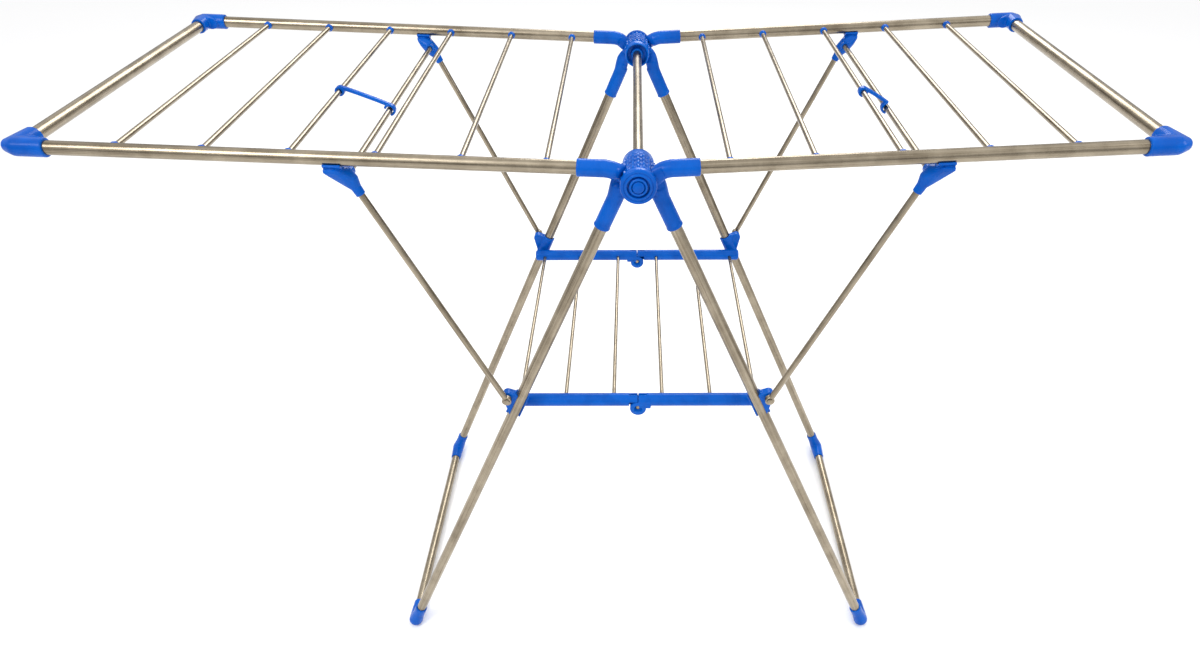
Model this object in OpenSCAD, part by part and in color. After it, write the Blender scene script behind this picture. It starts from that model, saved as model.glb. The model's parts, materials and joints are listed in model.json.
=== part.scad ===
// Folding clothes drying rack: two hinged leg frames, two wings of rods, two props and a folding shelf.
// X runs along the wings, Y from the front hub to the rear hub and Z up. The floor is z = 0 and the
// hub axis lies above the origin. Every right-hand piece is drawn with x > 0 and mirrored for the left.

/* [Frame] */
// Height of the hub axis above the floor
hub_h = 1050; // [950:5:1120]
// Distance between the middle of the rack and each wing rail
rail_y = 300; // [260:1:340]
// Distance between the middle of the rack and each leg
leg_y = 275; // [235:1:315]
// Outside diameter of the rails, legs, end tubes and floor tubes
tube_d = 19; // [16:0.5:22]
// Wall thickness of the large tubes
tube_wall = 0.8; // [0.6:0.1:1.5]

/* [Legs] */
// Angle of each open leg from the vertical
leg_angle = 24.5; // [20:0.5:28]
// Distance of the leg's centre line from the hub axis
leg_offset = 14; // [13.5:0.5:16]
// Radius of the rounded foot corner
foot_r = 15; // [14:0.5:18]
// Height of the floor tube's centre line
foot_h = 13; // [12:0.5:14]

/* [Wings] */
// Rise of each open wing above the horizontal
wing_angle = 2.5; // [0:0.5:5]
// Height of the rail's centre line above the hub axis
wing_offset = 15; // [14:0.5:18]
// Distance from the hub axis to the first wing rod
first_rod = 125; // [110:1:140]
// Distance between wing rods
rod_pitch = 115; // [100:1:125]
// Diameter of the wing rods
rod_d = 8; // [6:0.5:10]
// Number of rods in the left wing
left_rods = 6; // [5:1:7]
// Number of rods in the right wing
right_rods = 5; // [4:1:6]

/* [Hubs] */
// Diameter of the central cross tube
axle_d = 16; // [14:0.5:18]
// Radial running clearance of a ring on the cross tube
axle_gap = 0.08; // [0.03:0.01:0.1]
// Diameter of the hub rings
ring_d = 46; // [42:1:48]
// Diameter of the hub caps
cap_d = 50; // [46:1:54]
// Distance from the hub axis to the mouth of a leg socket
leg_mouth = 96; // [85:1:110]
// Distance from the hub axis to the mouth of a wing socket
wing_mouth = 82; // [75:1:95]

/* [Props] */
// Distance of the prop pivot along the leg from the hub axis
prop_along = 452; // [430:1:470]
// Distance of the prop pivot outboard of the leg's centre line
prop_out = 22; // [20:0.5:26]
// Distance of the prop head from the hub, along X
head_x = 408; // [400:1:415]
// Diameter of the prop rods
prop_d = 10; // [8:0.5:11]
// Diameter of the cross rod between two prop heads
cross_d = 9; // [7:0.5:9]
// Distance of a link from the middle of the rack, towards the front
link_y = 45; // [20:1:120]

/* [Shelf] */
// Height of the shelf bars' centre line
shelf_h = 621; // [600:1:640]
// Distance between the middle of the rack and each shelf bar
shelf_y = 250; // [230:1:251]
// Diameter of the shelf bars
bar_d = 23; // [20:0.5:23]
// Depth of the centre hinge below the bar's centre line
hinge_drop = 13; // [12.5:0.5:15]
// Diameter of the shelf rods
shelf_rod_d = 7; // [5:0.5:8]

/* [Hidden] */

$fn = 48;
front = -1;
rear = 1;
tube_r = tube_d / 2;
axle_r = axle_d / 2;
ring_r = ring_d / 2;
rod_r = rod_d / 2;
rod_wall = 0.8;

// Sockets, and the stack of rings along the cross tube
socket_r = tube_r + 2.5;
socket_start = 29;
tube_start = 42;
ring_gap = 0.3;
ring_t = socket_r - 2 * ring_gap;
collar_t = 8;
collar_face = leg_y - socket_r - ring_gap;
cap_face = rail_y + socket_r + ring_gap;
cap_t = 9;

// Legs: distances along the leg from the hub axis
leg_rise = leg_offset * sin(leg_angle);
foot_along = (hub_h - foot_h + leg_rise) / cos(leg_angle);
foot_sleeve = 34;

// Wings
left_len = first_rod + left_rods * rod_pitch + 5;
right_len = first_rod + right_rods * rod_pitch + 5;
corner_sleeve = 38;
corner_tip = 26;
corner_nose_r = 7;
corner_nose_root = 4;
bush_r = 6.5;
bush_len = 8;

// Props: the pivot is worked out in the leg's own frame, then in the rack's frame
prop_r = prop_d / 2;
cross_r = cross_d / 2;
pivot_x = (leg_offset + prop_out) * cos(leg_angle) + prop_along * sin(leg_angle);
pivot_z = hub_h + (leg_offset + prop_out) * sin(leg_angle) - prop_along * cos(leg_angle);
head_z = hub_h + wing_offset / cos(wing_angle) + head_x * tan(wing_angle);
prop_len = norm([head_x - pivot_x, head_z - pivot_z]);
prop_lean = atan2(head_x - pivot_x, head_z - pivot_z);
prop_y = rail_y - 9;
prop_pin_r = 3;
pin_gap = 0.05;
eye_r = 8;
eye_t = 9;
rail_gap = 0.4;
jaw_len = 24;
jaw_side = 5;
cross_drop = 30;
cross_x = head_x - cross_drop * sin(prop_lean);
cross_z = head_z - cross_drop * cos(prop_lean);

// Links
link_w = 11;
link_ring_r = rod_r + 3.5;
link_hook_gap = 1.5;
link_hook_r = cross_r + link_hook_gap + 3.5;
link_arm_z = 5.2;
link_arm_t = 4;
left_link_rod = first_rod + 3 * rod_pitch;
right_link_rod = first_rod + 2 * rod_pitch;

// Brackets and shelf
bracket_r = tube_r + 3.5;
bracket_lo = 440;
bracket_hi = 492;
saddle_wrap = 2;
ear_t = 16;
shelf_along = (hub_h - shelf_h + leg_rise) / cos(leg_angle);
shelf_x = leg_offset * cos(leg_angle) + shelf_along * sin(leg_angle);
bar_r = bar_d / 2;
bar_past = 14;
bar_gap = 0.3;
knuckle_r = 14;
knuckle_clear = 0.5;
shelf_pin_r = 4;
shelf_rod_xs = [42, 126, 204];

steel = [0.72, 0.69, 0.62];
blue = [0.05, 0.35, 0.85];

// The left half of the rack is the mirror image of the right half
module left() { mirror([1, 0, 0]) children(); }

// Local frame of a leg: the leg runs down -Z at x = leg_offset, with outboard along +X
module leg_frame(y) { translate([0, y, hub_h]) rotate([0, -leg_angle, 0]) children(); }

// Local frame of a wing: the rail runs along +X at z = wing_offset
module wing_frame(y) { translate([0, y, hub_h]) rotate([0, -wing_angle, 0]) children(); }

// Local frame of a prop: the pivot is the origin and the prop rises along +Z
module prop_frame(y) { translate([pivot_x, y, pivot_z]) rotate([0, prop_lean, 0]) children(); }

// A cylinder along Y from y0 to y1
module bar_y(r, y0, y1) {
    translate([0, y0, 0]) rotate([-90, 0, 0]) cylinder(r = r, h = y1 - y0);
}

// A cylinder along X from x0 to x1
module bar_x(r, x0, x1) {
    translate([x0, 0, 0]) rotate([0, 90, 0]) cylinder(r = r, h = x1 - x0);
}

// A hollow tube along Y
module tube_y(r, wall, y0, y1) {
    difference() {
        bar_y(r, y0, y1);
        bar_y(r - wall, y0 - 1, y1 + 1);
    }
}

// ---- Hubs ----

// The cross tube that every hub ring turns on
module axle_tube() {
    color(steel) translate([0, 0, hub_h]) tube_y(axle_r, 1, -cap_face, cap_face);
}

// A round cap with stepped rings on its face and a spigot in the end of the cross tube
module hub_cap() {
    rotate([-90, 0, 0]) {
        cylinder(r = cap_d / 2 - 2, h = 3);
        translate([0, 0, 3]) cylinder(r = cap_d / 2, h = cap_t - 5);
        translate([0, 0, cap_t - 2]) cylinder(r1 = cap_d / 2, r2 = cap_d / 2 - 2, h = 2);
        translate([0, 0, cap_t]) difference() {
            cylinder(r = cap_d / 2 - 6, h = 4);
            translate([0, 0, 1]) cylinder(r = cap_d / 2 - 9, h = 4);
        }
        cylinder(r = cap_d / 2 - 12, h = cap_t + 6);
        translate([0, 0, -14]) cylinder(r = axle_r - 1, h = 15);
    }
}

module hub_caps() {
    color(blue) {
        translate([0, cap_face, hub_h]) hub_cap();
        translate([0, -cap_face, hub_h]) mirror([0, 1, 0]) hub_cap();
    }
}

// A collar fixed on the cross tube inside each hub, which keeps the rings in place
module inner_collars() {
    color(blue) translate([0, 0, hub_h]) for (end = [front, rear]) {
        mirror([0, end < 0 ? 1 : 0, 0]) difference() {
            union() {
                bar_y(ring_r - 1, collar_face - collar_t, collar_face - ring_gap);
                bar_y(axle_r + 3, collar_face - collar_t - 10, collar_face - ring_gap);
            }
            bar_y(axle_r, collar_face - collar_t - 11, collar_face);
        }
    }
}

// Ribs along the rim of a hub ring, on the arc from a0 to a1
module rim_ribs(y0, a0, a1) {
    for (a = [a0:15:a1]) {
        rotate([0, -a, 0]) translate([ring_r - 0.6, y0 + 0.6, -1.2])
            cube([1.6, ring_t - 1.2, 2.4]);
    }
}

// A ring on the cross tube, from y0 to y0 + ring_t
module hub_ring(y0) { bar_y(ring_r, y0, y0 + ring_t); }

// The bore of a hub ring
module ring_bore(y0) { bar_y(axle_r + axle_gap, y0 - 1, y0 + ring_t + 1); }

// The leg socket's ring and the sleeve that holds the leg; y0 is the ring's start from the leg plane
module leg_socket(end, y0) {
    color(blue) leg_frame(end * leg_y) difference() {
        union() {
            hub_ring(y0);
            translate([leg_offset, 0, -leg_mouth]) cylinder(r = socket_r, h = leg_mouth - socket_start);
            translate([leg_offset, 0, -leg_mouth - 2]) cylinder(r1 = tube_r + 1.6, r2 = socket_r, h = 2);
            translate([0, y0 + ring_t, 0]) rotate([90, 0, 0]) linear_extrude(ring_t)
                polygon([[ring_r - 1, 4], [leg_offset + socket_r, -socket_start - 10],
                    [leg_offset - socket_r, -socket_start - 10], [2, -ring_r + 4]]);
        }
        ring_bore(y0);
        translate([leg_offset, 0, -leg_mouth - 3]) cylinder(r = tube_r, h = leg_mouth - tube_start + 3);
    }
}

// The wing socket's ring and the sleeve that holds the rail
module wing_socket(end, y0) {
    color(blue) wing_frame(end * rail_y) difference() {
        union() {
            hub_ring(y0);
            rim_ribs(y0, 45, 135);
            translate([0, 0, wing_offset]) bar_x(socket_r, socket_start, wing_mouth);
            translate([wing_mouth, 0, wing_offset]) rotate([0, 90, 0])
                cylinder(r1 = socket_r, r2 = tube_r + 1.6, h = 2);
            translate([0, y0 + ring_t, 0]) rotate([90, 0, 0]) linear_extrude(ring_t)
                polygon([[4, ring_r - 1], [socket_start + 10, wing_offset + socket_r],
                    [socket_start + 10, wing_offset - socket_r], [ring_r - 3, -6]]);
        }
        ring_bore(y0);
        translate([0, 0, wing_offset]) bar_x(tube_r, tube_start, wing_mouth + 3);
    }
}

// Rings side by side on each hub: the inner half of a socket plane, or its outer half
module leg_socket_at(end, outer) {
    leg_socket(end, outer ? ring_gap : -ring_gap - ring_t);
}

module wing_socket_at(end, outer) {
    wing_socket(end, outer ? ring_gap : -ring_gap - ring_t);
}

// ---- Leg frames ----

module leg_tube(end) {
    color(steel) leg_frame(end * leg_y) translate([leg_offset, 0, -foot_along + foot_h]) difference() {
        cylinder(r = tube_r, h = foot_along - foot_h - tube_start);
        translate([0, 0, -1]) cylinder(r = tube_r - tube_wall, h = foot_along);
    }
}

// Distance of the floor tube from the rack's middle plane, along X
function foot_x() = leg_offset * cos(leg_angle) + foot_along * sin(leg_angle);

module floor_tube() {
    color(steel) translate([foot_x(), 0, foot_h]) tube_y(tube_r, tube_wall, -leg_y + 11, leg_y - 11);
}

// The corner that joins a leg to the floor tube, with a flat pad on the floor
module foot(end) {
    color(blue) difference() {
        union() {
            translate([foot_x(), end * leg_y, foot_h]) sphere(r = foot_r);
            leg_frame(end * leg_y) translate([leg_offset, 0, -foot_along])
                cylinder(r = socket_r, h = foot_sleeve);
            translate([foot_x(), 0, foot_h]) mirror([0, end < 0 ? 1 : 0, 0])
                bar_y(socket_r, leg_y - foot_sleeve, leg_y);
        }
        leg_frame(end * leg_y) translate([leg_offset, 0, -foot_along + foot_h])
            cylinder(r = tube_r, h = foot_sleeve);
        translate([foot_x(), 0, foot_h]) bar_y(tube_r, -leg_y + 11, leg_y - 11);
        translate([foot_x() - 40, end * leg_y - 40, -20]) cube([80, 80, 20]);
    }
}

// A saddle on the leg's inner side with an outboard ear for the prop pivot
module bracket(end) {
    color(blue) leg_frame(end * leg_y) difference() {
        union() {
            translate([leg_offset, 0, -bracket_hi]) cylinder(r = bracket_r, h = bracket_hi - bracket_lo);
            translate([leg_offset, -ear_t / 2, -prop_along - 9]) cube([prop_out, ear_t, 18]);
            translate([leg_offset + prop_out, 0, -prop_along]) bar_y(9, -ear_t / 2, ear_t / 2);
        }
        translate([leg_offset, 0, -bracket_hi - 1]) cylinder(r = tube_r, h = bracket_hi - bracket_lo + 2);
        mirror([0, end < 0 ? 1 : 0, 0])
            translate([leg_offset - bracket_r - 1, saddle_wrap, -bracket_hi - 1])
                cube([bracket_r + tube_r, bracket_r, bracket_hi - bracket_lo + 2]);
        translate([leg_offset + prop_out, 0, -prop_along]) bar_y(prop_pin_r, -ear_t, ear_t);
    }
}

// The pins that the two props of one side turn on, and the shelf pins where there are any
module pivot_pins(with_shelf) {
    color(steel) for (end = [front, rear]) mirror([0, end < 0 ? 1 : 0, 0]) {
        translate([pivot_x, 0, pivot_z]) {
            bar_y(prop_pin_r, leg_y - ear_t / 2 + 1, prop_y + eye_t / 2 + 1);
            bar_y(prop_pin_r + 2.5, prop_y + eye_t / 2 + 0.3, prop_y + eye_t / 2 + 2.5);
        }
        if (with_shelf) translate([shelf_x, 0, shelf_h])
            bar_y(shelf_pin_r, shelf_y - 6, leg_y - bracket_r + 1);
    }
}

// ---- Wings ----

module rail(end, len) {
    color(steel) wing_frame(end * rail_y) translate([tube_start, 0, wing_offset]) rotate([0, 90, 0])
        difference() {
            cylinder(r = tube_r, h = len - 12 - tube_start);
            translate([0, 0, -1]) cylinder(r = tube_r - tube_wall, h = len);
        }
}

module end_tube(len) {
    color(steel) wing_frame(0) translate([len, 0, wing_offset])
        tube_y(tube_r, tube_wall, -rail_y + 12, rail_y - 12);
}

// The two pointed corners that join the rails to the end tube
module wing_corners(len) {
    color(blue) wing_frame(0) for (end = [front, rear]) mirror([0, end < 0 ? 1 : 0, 0])
        translate([len, rail_y, wing_offset]) difference() {
            union() {
                rotate([0, 90, 0]) sphere(r = socket_r + 2);
                bar_x(socket_r + 1, -corner_sleeve, 0);
                bar_y(socket_r + 1, -corner_sleeve, 0);
                translate([-corner_nose_root, 0, 0]) rotate([0, 90, 0])
                    cylinder(r1 = socket_r, r2 = corner_nose_r, h = corner_tip + corner_nose_root);
            }
            bar_x(tube_r, -corner_sleeve - 1, -12);
            bar_y(tube_r, -corner_sleeve - 1, -12);
        }
}

// The place of a wing rod
module at_rod(i) { wing_frame(0) translate([first_rod + i * rod_pitch, 0, wing_offset]) children(); }

module wing_rods(count) {
    color(steel) for (i = [0:count - 1]) at_rod(i)
        tube_y(rod_r, rod_wall, -rail_y + tube_r, rail_y - tube_r);
}

// A flanged bush at each end of each rod, against the rail
module rod_bushes(count) {
    color(blue) for (i = [0:count - 1]) at_rod(i) for (end = [front, rear])
        mirror([0, end < 0 ? 1 : 0, 0]) difference() {
            union() {
                bar_y(bush_r, rail_y - tube_r - bush_len + 3, rail_y - tube_r);
                bar_y(bush_r - 1, rail_y - tube_r - bush_len, rail_y - tube_r);
            }
            bar_y(rod_r, rail_y - tube_r - bush_len - 1, rail_y - tube_r + 1);
            translate([-20, rail_y, 0]) bar_x(tube_r, 0, 40);
        }
}

// ---- Props ----

// A prop rod with the eye that turns on the bracket's pin
module prop(end) {
    color(steel) prop_frame(end * prop_y) difference() {
        union() {
            translate([0, 0, 6]) cylinder(r = prop_r, h = prop_len - cross_drop - 6);
            bar_y(eye_r, -eye_t / 2, eye_t / 2);
        }
        translate([0, 0, eye_r + 4]) cylinder(r = prop_r - 1, h = prop_len);
        bar_y(prop_pin_r + pin_gap, -eye_t, eye_t);
    }
}

module cross_rod() {
    color(steel) translate([cross_x, 0, cross_z]) tube_y(cross_r, 1, -prop_y + 7, prop_y - 7);
}

// A head that cups the underside of the rail, with sockets for the prop and for the cross rod
module prop_head(end) {
    color(blue) difference() {
        union() {
            prop_frame(end * prop_y) translate([0, 0, prop_len - cross_drop - 32]) {
                cylinder(r1 = prop_r + 2, r2 = prop_r + 5, h = 42);
            }
            translate([cross_x, end * prop_y, cross_z]) mirror([0, end < 0 ? 1 : 0, 0])
                bar_y(cross_r + 3, -16, 4);
            translate([head_x, end * rail_y, head_z]) rotate([0, -wing_angle, 0])
                translate([-jaw_len / 2, -14, -tube_r - 8]) cube([jaw_len, 28, tube_r + 8 - jaw_side]);
        }
        translate([head_x, end * rail_y, head_z]) rotate([0, -wing_angle, 0])
            bar_x(tube_r + rail_gap, -60, 60);
        prop_frame(end * prop_y) translate([0, 0, prop_len - cross_drop - 33]) cylinder(r = prop_r, h = 33);
        translate([cross_x, end * prop_y, cross_z]) mirror([0, end < 0 ? 1 : 0, 0])
            bar_y(cross_r, -17, -7);
    }
}

// A link from a wing rod to the cross rod: a closed ring, an arm and a hook with an outboard mouth.
// The arm passes over the mouth where the ring is outboard of the cross rod.
module link(rod_along) {
    ring_x = rod_along * cos(wing_angle) - wing_offset * sin(wing_angle);
    ring_z = hub_h + rod_along * sin(wing_angle) + wing_offset * cos(wing_angle);
    over = ring_x > cross_x;
    start = over ? [cross_x, cross_z] : [ring_x, ring_z];
    stop = over ? [ring_x, ring_z] : [cross_x, cross_z];
    lean = atan2(stop[1] - start[1], stop[0] - start[0]);
    mouth_h = over ? 20 + cross_r + link_hook_gap : 40;
    color(blue) translate([0, -link_y - link_w / 2, 0]) difference() {
        union() {
            translate([ring_x, 0, ring_z]) bar_y(link_ring_r, 0, link_w);
            translate([cross_x, 0, cross_z]) bar_y(link_hook_r, 0, link_w);
            translate([start[0], 2, start[1]]) rotate([0, -lean, 0]) translate([0, 0, link_arm_z])
                cube([norm(stop - start), link_w - 4, link_arm_t]);
        }
        translate([ring_x, 0, ring_z]) bar_y(rod_r + pin_gap, -1, link_w + 1);
        translate([cross_x, 0, cross_z]) bar_y(cross_r + link_hook_gap, -1, link_w + 1);
        translate([cross_x + 1, -1, cross_z - 20]) cube([20, link_w + 2, mouth_h]);
    }
}

// ---- Shelf ----

// Half of a shelf bar, with its hinge knuckle; inner is the half of the bar nearer the middle
module shelf_bar(end, inner) {
    knuckle_y = inner ? -bar_r : bar_gap / 2;
    other_y = inner ? -bar_gap / 2 : -bar_r - 1;
    color(blue) translate([0, end * shelf_y, shelf_h]) mirror([0, end < 0 ? 1 : 0, 0]) difference() {
        union() {
            bar_x(bar_r, bar_gap, shelf_x + bar_past - 4);
            translate([shelf_x + bar_past - 4, 0, 0]) rotate([0, 90, 0])
                cylinder(r1 = bar_r, r2 = bar_r - 3, h = 4);
            translate([0, 0, -hinge_drop])
                bar_y(knuckle_r, knuckle_y, knuckle_y + bar_r - bar_gap / 2);
            translate([0, knuckle_y, -hinge_drop])
                cube([knuckle_r + 10, bar_r - bar_gap / 2, hinge_drop]);
        }
        translate([0, 0, -hinge_drop]) bar_y(knuckle_r + knuckle_clear, other_y, other_y + bar_r + 1);
        translate([0, 0, -hinge_drop]) bar_y(shelf_pin_r + (inner ? 0 : pin_gap), -20, 20);
        translate([shelf_x, 0, 0]) bar_y(shelf_pin_r + pin_gap, -7, 20);
    }
}

module shelf_rods() {
    color(steel) for (x = shelf_rod_xs) translate([x, 0, shelf_h])
        tube_y(shelf_rod_d / 2, rod_wall, -shelf_y + bar_r - 1, shelf_y - bar_r + 1);
}

// The pins of the two centre hinges, each with a domed head on its outer side
module shelf_hinge_pins() {
    color(steel) for (end = [front, rear]) mirror([0, end < 0 ? 1 : 0, 0])
        translate([0, shelf_y, shelf_h - hinge_drop]) {
            bar_y(shelf_pin_r, -bar_r + 1, bar_r + 0.6);
            bar_y(shelf_pin_r + 3, bar_r + 0.3, bar_r + 2.5);
        }
}

axle_tube();
hub_caps();
inner_collars();
left() leg_tube(front);  // left_front_leg
left() leg_tube(rear);  // left_rear_leg
left() floor_tube();  // left_floor_tube
left() leg_socket_at(front, true);  // left_front_leg_socket
left() leg_socket_at(rear, false);  // left_rear_leg_socket
left() foot(front);  // left_front_foot
left() foot(rear);  // left_rear_foot
left() bracket(front);  // left_front_bracket
left() bracket(rear);  // left_rear_bracket
left() pivot_pins(true);  // left_pivot_pins
leg_tube(front);  // right_front_leg
leg_tube(rear);  // right_rear_leg
floor_tube();  // right_floor_tube
leg_socket_at(front, false);  // right_front_leg_socket
leg_socket_at(rear, true);  // right_rear_leg_socket
foot(front);  // right_front_foot
foot(rear);  // right_rear_foot
bracket(front);  // right_front_bracket
bracket(rear);  // right_rear_bracket
pivot_pins(false);  // right_pivot_pins
left() rail(front, left_len);  // left_front_rail
left() rail(rear, left_len);  // left_rear_rail
left() end_tube(left_len);  // left_end_tube
left() wing_socket_at(front, true);  // left_front_wing_socket
left() wing_socket_at(rear, false);  // left_rear_wing_socket
left() wing_corners(left_len);  // left_wing_corners
left() wing_rods(left_rods);  // left_wing_rods
left() rod_bushes(left_rods);  // left_rod_bushes
rail(front, right_len);  // right_front_rail
rail(rear, right_len);  // right_rear_rail
end_tube(right_len);  // right_end_tube
wing_socket_at(front, false);  // right_front_wing_socket
wing_socket_at(rear, true);  // right_rear_wing_socket
wing_corners(right_len);  // right_wing_corners
wing_rods(right_rods);  // right_wing_rods
rod_bushes(right_rods);  // right_rod_bushes
left() prop(front);  // left_front_prop
left() prop(rear);  // left_rear_prop
left() cross_rod();  // left_cross_rod
left() prop_head(front);  // left_front_head
left() prop_head(rear);  // left_rear_head
prop(front);  // right_front_prop
prop(rear);  // right_rear_prop
cross_rod();  // right_cross_rod
prop_head(front);  // right_front_head
prop_head(rear);  // right_rear_head
left() link(left_link_rod);  // left_link
link(right_link_rod);  // right_link
left() shelf_bar(front, true);  // left_front_shelf_bar
left() shelf_bar(rear, true);  // left_rear_shelf_bar
left() shelf_rods();  // left_shelf_rods
shelf_bar(front, false);  // right_front_shelf_bar
shelf_bar(rear, false);  // right_rear_shelf_bar
shelf_rods();  // right_shelf_rods
shelf_hinge_pins();
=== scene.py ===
"""Looks of a folding clothes drying rack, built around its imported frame.

Every visible piece is a numpy surface in metres, in the frame's own axes: X along the wings, Y from
the front hub to the rear hub, Z up. Each sub-assembly is a class that builds, dresses and places its
own pieces, and each piece stands for one node of the frame.
"""

from __future__ import annotations

import json
import logging
import math
from dataclasses import dataclass, field
from enum import Enum
from typing import Any, Sequence

import bmesh
import bpy
import numpy as np
from mathutils import Euler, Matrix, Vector

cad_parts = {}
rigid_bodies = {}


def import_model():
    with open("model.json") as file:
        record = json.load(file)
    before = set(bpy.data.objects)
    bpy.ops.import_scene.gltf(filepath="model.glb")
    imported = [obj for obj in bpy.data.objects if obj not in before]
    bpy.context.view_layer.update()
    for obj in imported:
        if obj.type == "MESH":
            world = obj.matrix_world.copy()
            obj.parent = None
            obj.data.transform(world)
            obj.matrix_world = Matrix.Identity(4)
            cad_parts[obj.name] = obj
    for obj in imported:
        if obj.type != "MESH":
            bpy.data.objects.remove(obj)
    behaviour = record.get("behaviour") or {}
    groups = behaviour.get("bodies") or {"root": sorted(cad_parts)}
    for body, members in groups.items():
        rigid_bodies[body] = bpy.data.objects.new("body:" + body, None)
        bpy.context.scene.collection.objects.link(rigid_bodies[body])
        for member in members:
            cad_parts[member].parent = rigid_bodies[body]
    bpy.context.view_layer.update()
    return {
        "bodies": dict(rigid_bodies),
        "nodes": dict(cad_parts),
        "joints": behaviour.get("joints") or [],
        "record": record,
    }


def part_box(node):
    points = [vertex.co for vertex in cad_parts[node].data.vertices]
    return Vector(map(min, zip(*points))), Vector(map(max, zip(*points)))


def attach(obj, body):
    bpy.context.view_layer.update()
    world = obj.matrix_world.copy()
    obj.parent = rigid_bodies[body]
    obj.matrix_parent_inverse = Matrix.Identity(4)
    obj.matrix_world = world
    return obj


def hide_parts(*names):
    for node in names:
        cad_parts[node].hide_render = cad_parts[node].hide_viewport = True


LOG = logging.getLogger("drying_rack")
MM = 0.001
X_AXIS = np.array([1.0, 0.0, 0.0])
Y_AXIS = np.array([0.0, 1.0, 0.0])
Z_AXIS = np.array([0.0, 0.0, 1.0])
TUBE_SIDES = 48
ARM_SIDES = 32
ROD_SIDES = 28
PIN_SIDES = 36


class Side(Enum):
    """The two halves of the rack, with the sign of their X."""

    LEFT = -1
    RIGHT = 1

    @property
    def word(self) -> str:
        """The side's word in node names."""
        return self.name.lower()


class End(Enum):
    """The two ends of the rack, with the sign of their Y."""

    FRONT = -1
    REAR = 1

    @property
    def word(self) -> str:
        """The end's word in node names."""
        return self.name.lower()


class Slot(Enum):
    """The record's material slots."""

    STEEL = "steel"
    PLASTIC = "blue_plastic"


# ---------------------------------------------------------------- surfaces


@dataclass
class Shell:
    """A closed surface.

    The points are rows of x, y and z. The corners are the point numbers of all faces, one face after
    another, and the sizes say how many corners each face takes. The unrolled rows hold the place of
    each point on the flattened surface, in metres.
    """

    points: np.ndarray
    corners: np.ndarray
    sizes: np.ndarray
    unrolled: np.ndarray


def shell_of(mesh: bpy.types.Mesh) -> Shell:
    """Reads a mesh back as a shell, with nothing unrolled.

    Args:
        mesh: a mesh of closed surfaces.

    Returns:
        The shell.
    """
    points = np.empty(len(mesh.vertices) * 3)
    mesh.vertices.foreach_get("co", points)
    corners = np.empty(len(mesh.loops), dtype=np.int64)
    mesh.loops.foreach_get("vertex_index", corners)
    sizes = np.empty(len(mesh.polygons), dtype=np.int64)
    mesh.polygons.foreach_get("loop_total", sizes)
    return Shell(points.reshape(-1, 3), corners, sizes, np.zeros((len(mesh.vertices), 2)))


def grid_shell(grid: np.ndarray, unrolled: np.ndarray, looped: bool = False) -> Shell:
    """Closes a grid of rings into a shell.

    Each row of the grid is one ring of points, and its last point joins its first. The rows are
    joined in order, and either the last row joins the first or both end rows get a flat face.

    Args:
        grid: ring points, rings by points by three.
        unrolled: length and girth of each grid point, in metres.
        looped: whether the last ring joins the first.

    Returns:
        The closed shell.
    """
    rings, around = grid.shape[:2]
    rows = np.arange(rings if looped else rings - 1)
    index = np.arange(rings * around).reshape(rings, around)
    here, there = index[rows], index[(rows + 1) % rings]
    quads = np.stack([here, np.roll(here, -1, 1), np.roll(there, -1, 1), there], axis=-1)
    corners, sizes = quads.ravel(), np.full(quads.size // 4, 4)
    if not looped:
        corners = np.concatenate([corners, index[0][::-1], index[-1]])
        sizes = np.concatenate([sizes, [around, around]])
    return Shell(grid.reshape(-1, 3), corners, sizes, unrolled.reshape(-1, 2))


def unit(vector: np.ndarray) -> np.ndarray:
    """Returns vectors scaled to length one, along the last axis."""
    return vector / np.linalg.norm(vector, axis=-1, keepdims=True)


def turns(count: int) -> np.ndarray:
    """Returns equal angles once round a circle."""
    return np.linspace(0, 2 * np.pi, count, endpoint=False)


def sweep(path: np.ndarray, radius: float | np.ndarray, sides: int = ARM_SIDES,
          up: np.ndarray = Y_AXIS, squash: float | np.ndarray = 1.0, power: float = 2.0) -> Shell:
    """Carries a round profile along a path.

    A point at angle t on the ring at arc length s lies at path(s) plus radius(s) times cos t along
    the side direction plus radius(s) times squash times sin t along the up direction. The cosine and
    sine are raised to two over power, which squares the round profile as power grows.

    Args:
        path: points along the middle of the shape.
        radius: one radius, or one for each point of the path.
        sides: points on each ring.
        up: a direction that the path never takes.
        squash: the profile's size along up, over its size across it; one, or one for each point.
        power: 2 for an ellipse, and more for a squarer profile.

    Returns:
        The closed shell.
    """
    tangent = unit(np.gradient(path, axis=0))
    side = unit(np.cross(tangent, up))
    rise = np.cross(side, tangent)
    radii = np.broadcast_to(np.asarray(radius, float), len(path))[:, None, None]
    angle = turns(sides)
    cosine, sine = np.cos(angle), np.sin(angle)
    across = np.sign(cosine) * np.abs(cosine) ** (2 / power)
    flat = np.broadcast_to(np.asarray(squash, float), len(path))[:, None]
    along = np.sign(sine) * np.abs(sine) ** (2 / power) * flat
    ring = across[None, :, None] * side[:, None] + along[:, :, None] * rise[:, None]
    grid = path[:, None] + radii * ring
    length = np.concatenate([[0.0], np.cumsum(np.linalg.norm(np.diff(path, axis=0), axis=1))])
    girth = angle * float(np.mean(radii))
    unrolled = np.stack(np.meshgrid(length, girth, indexing="ij"), axis=-1)
    return grid_shell(grid, unrolled)


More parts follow.
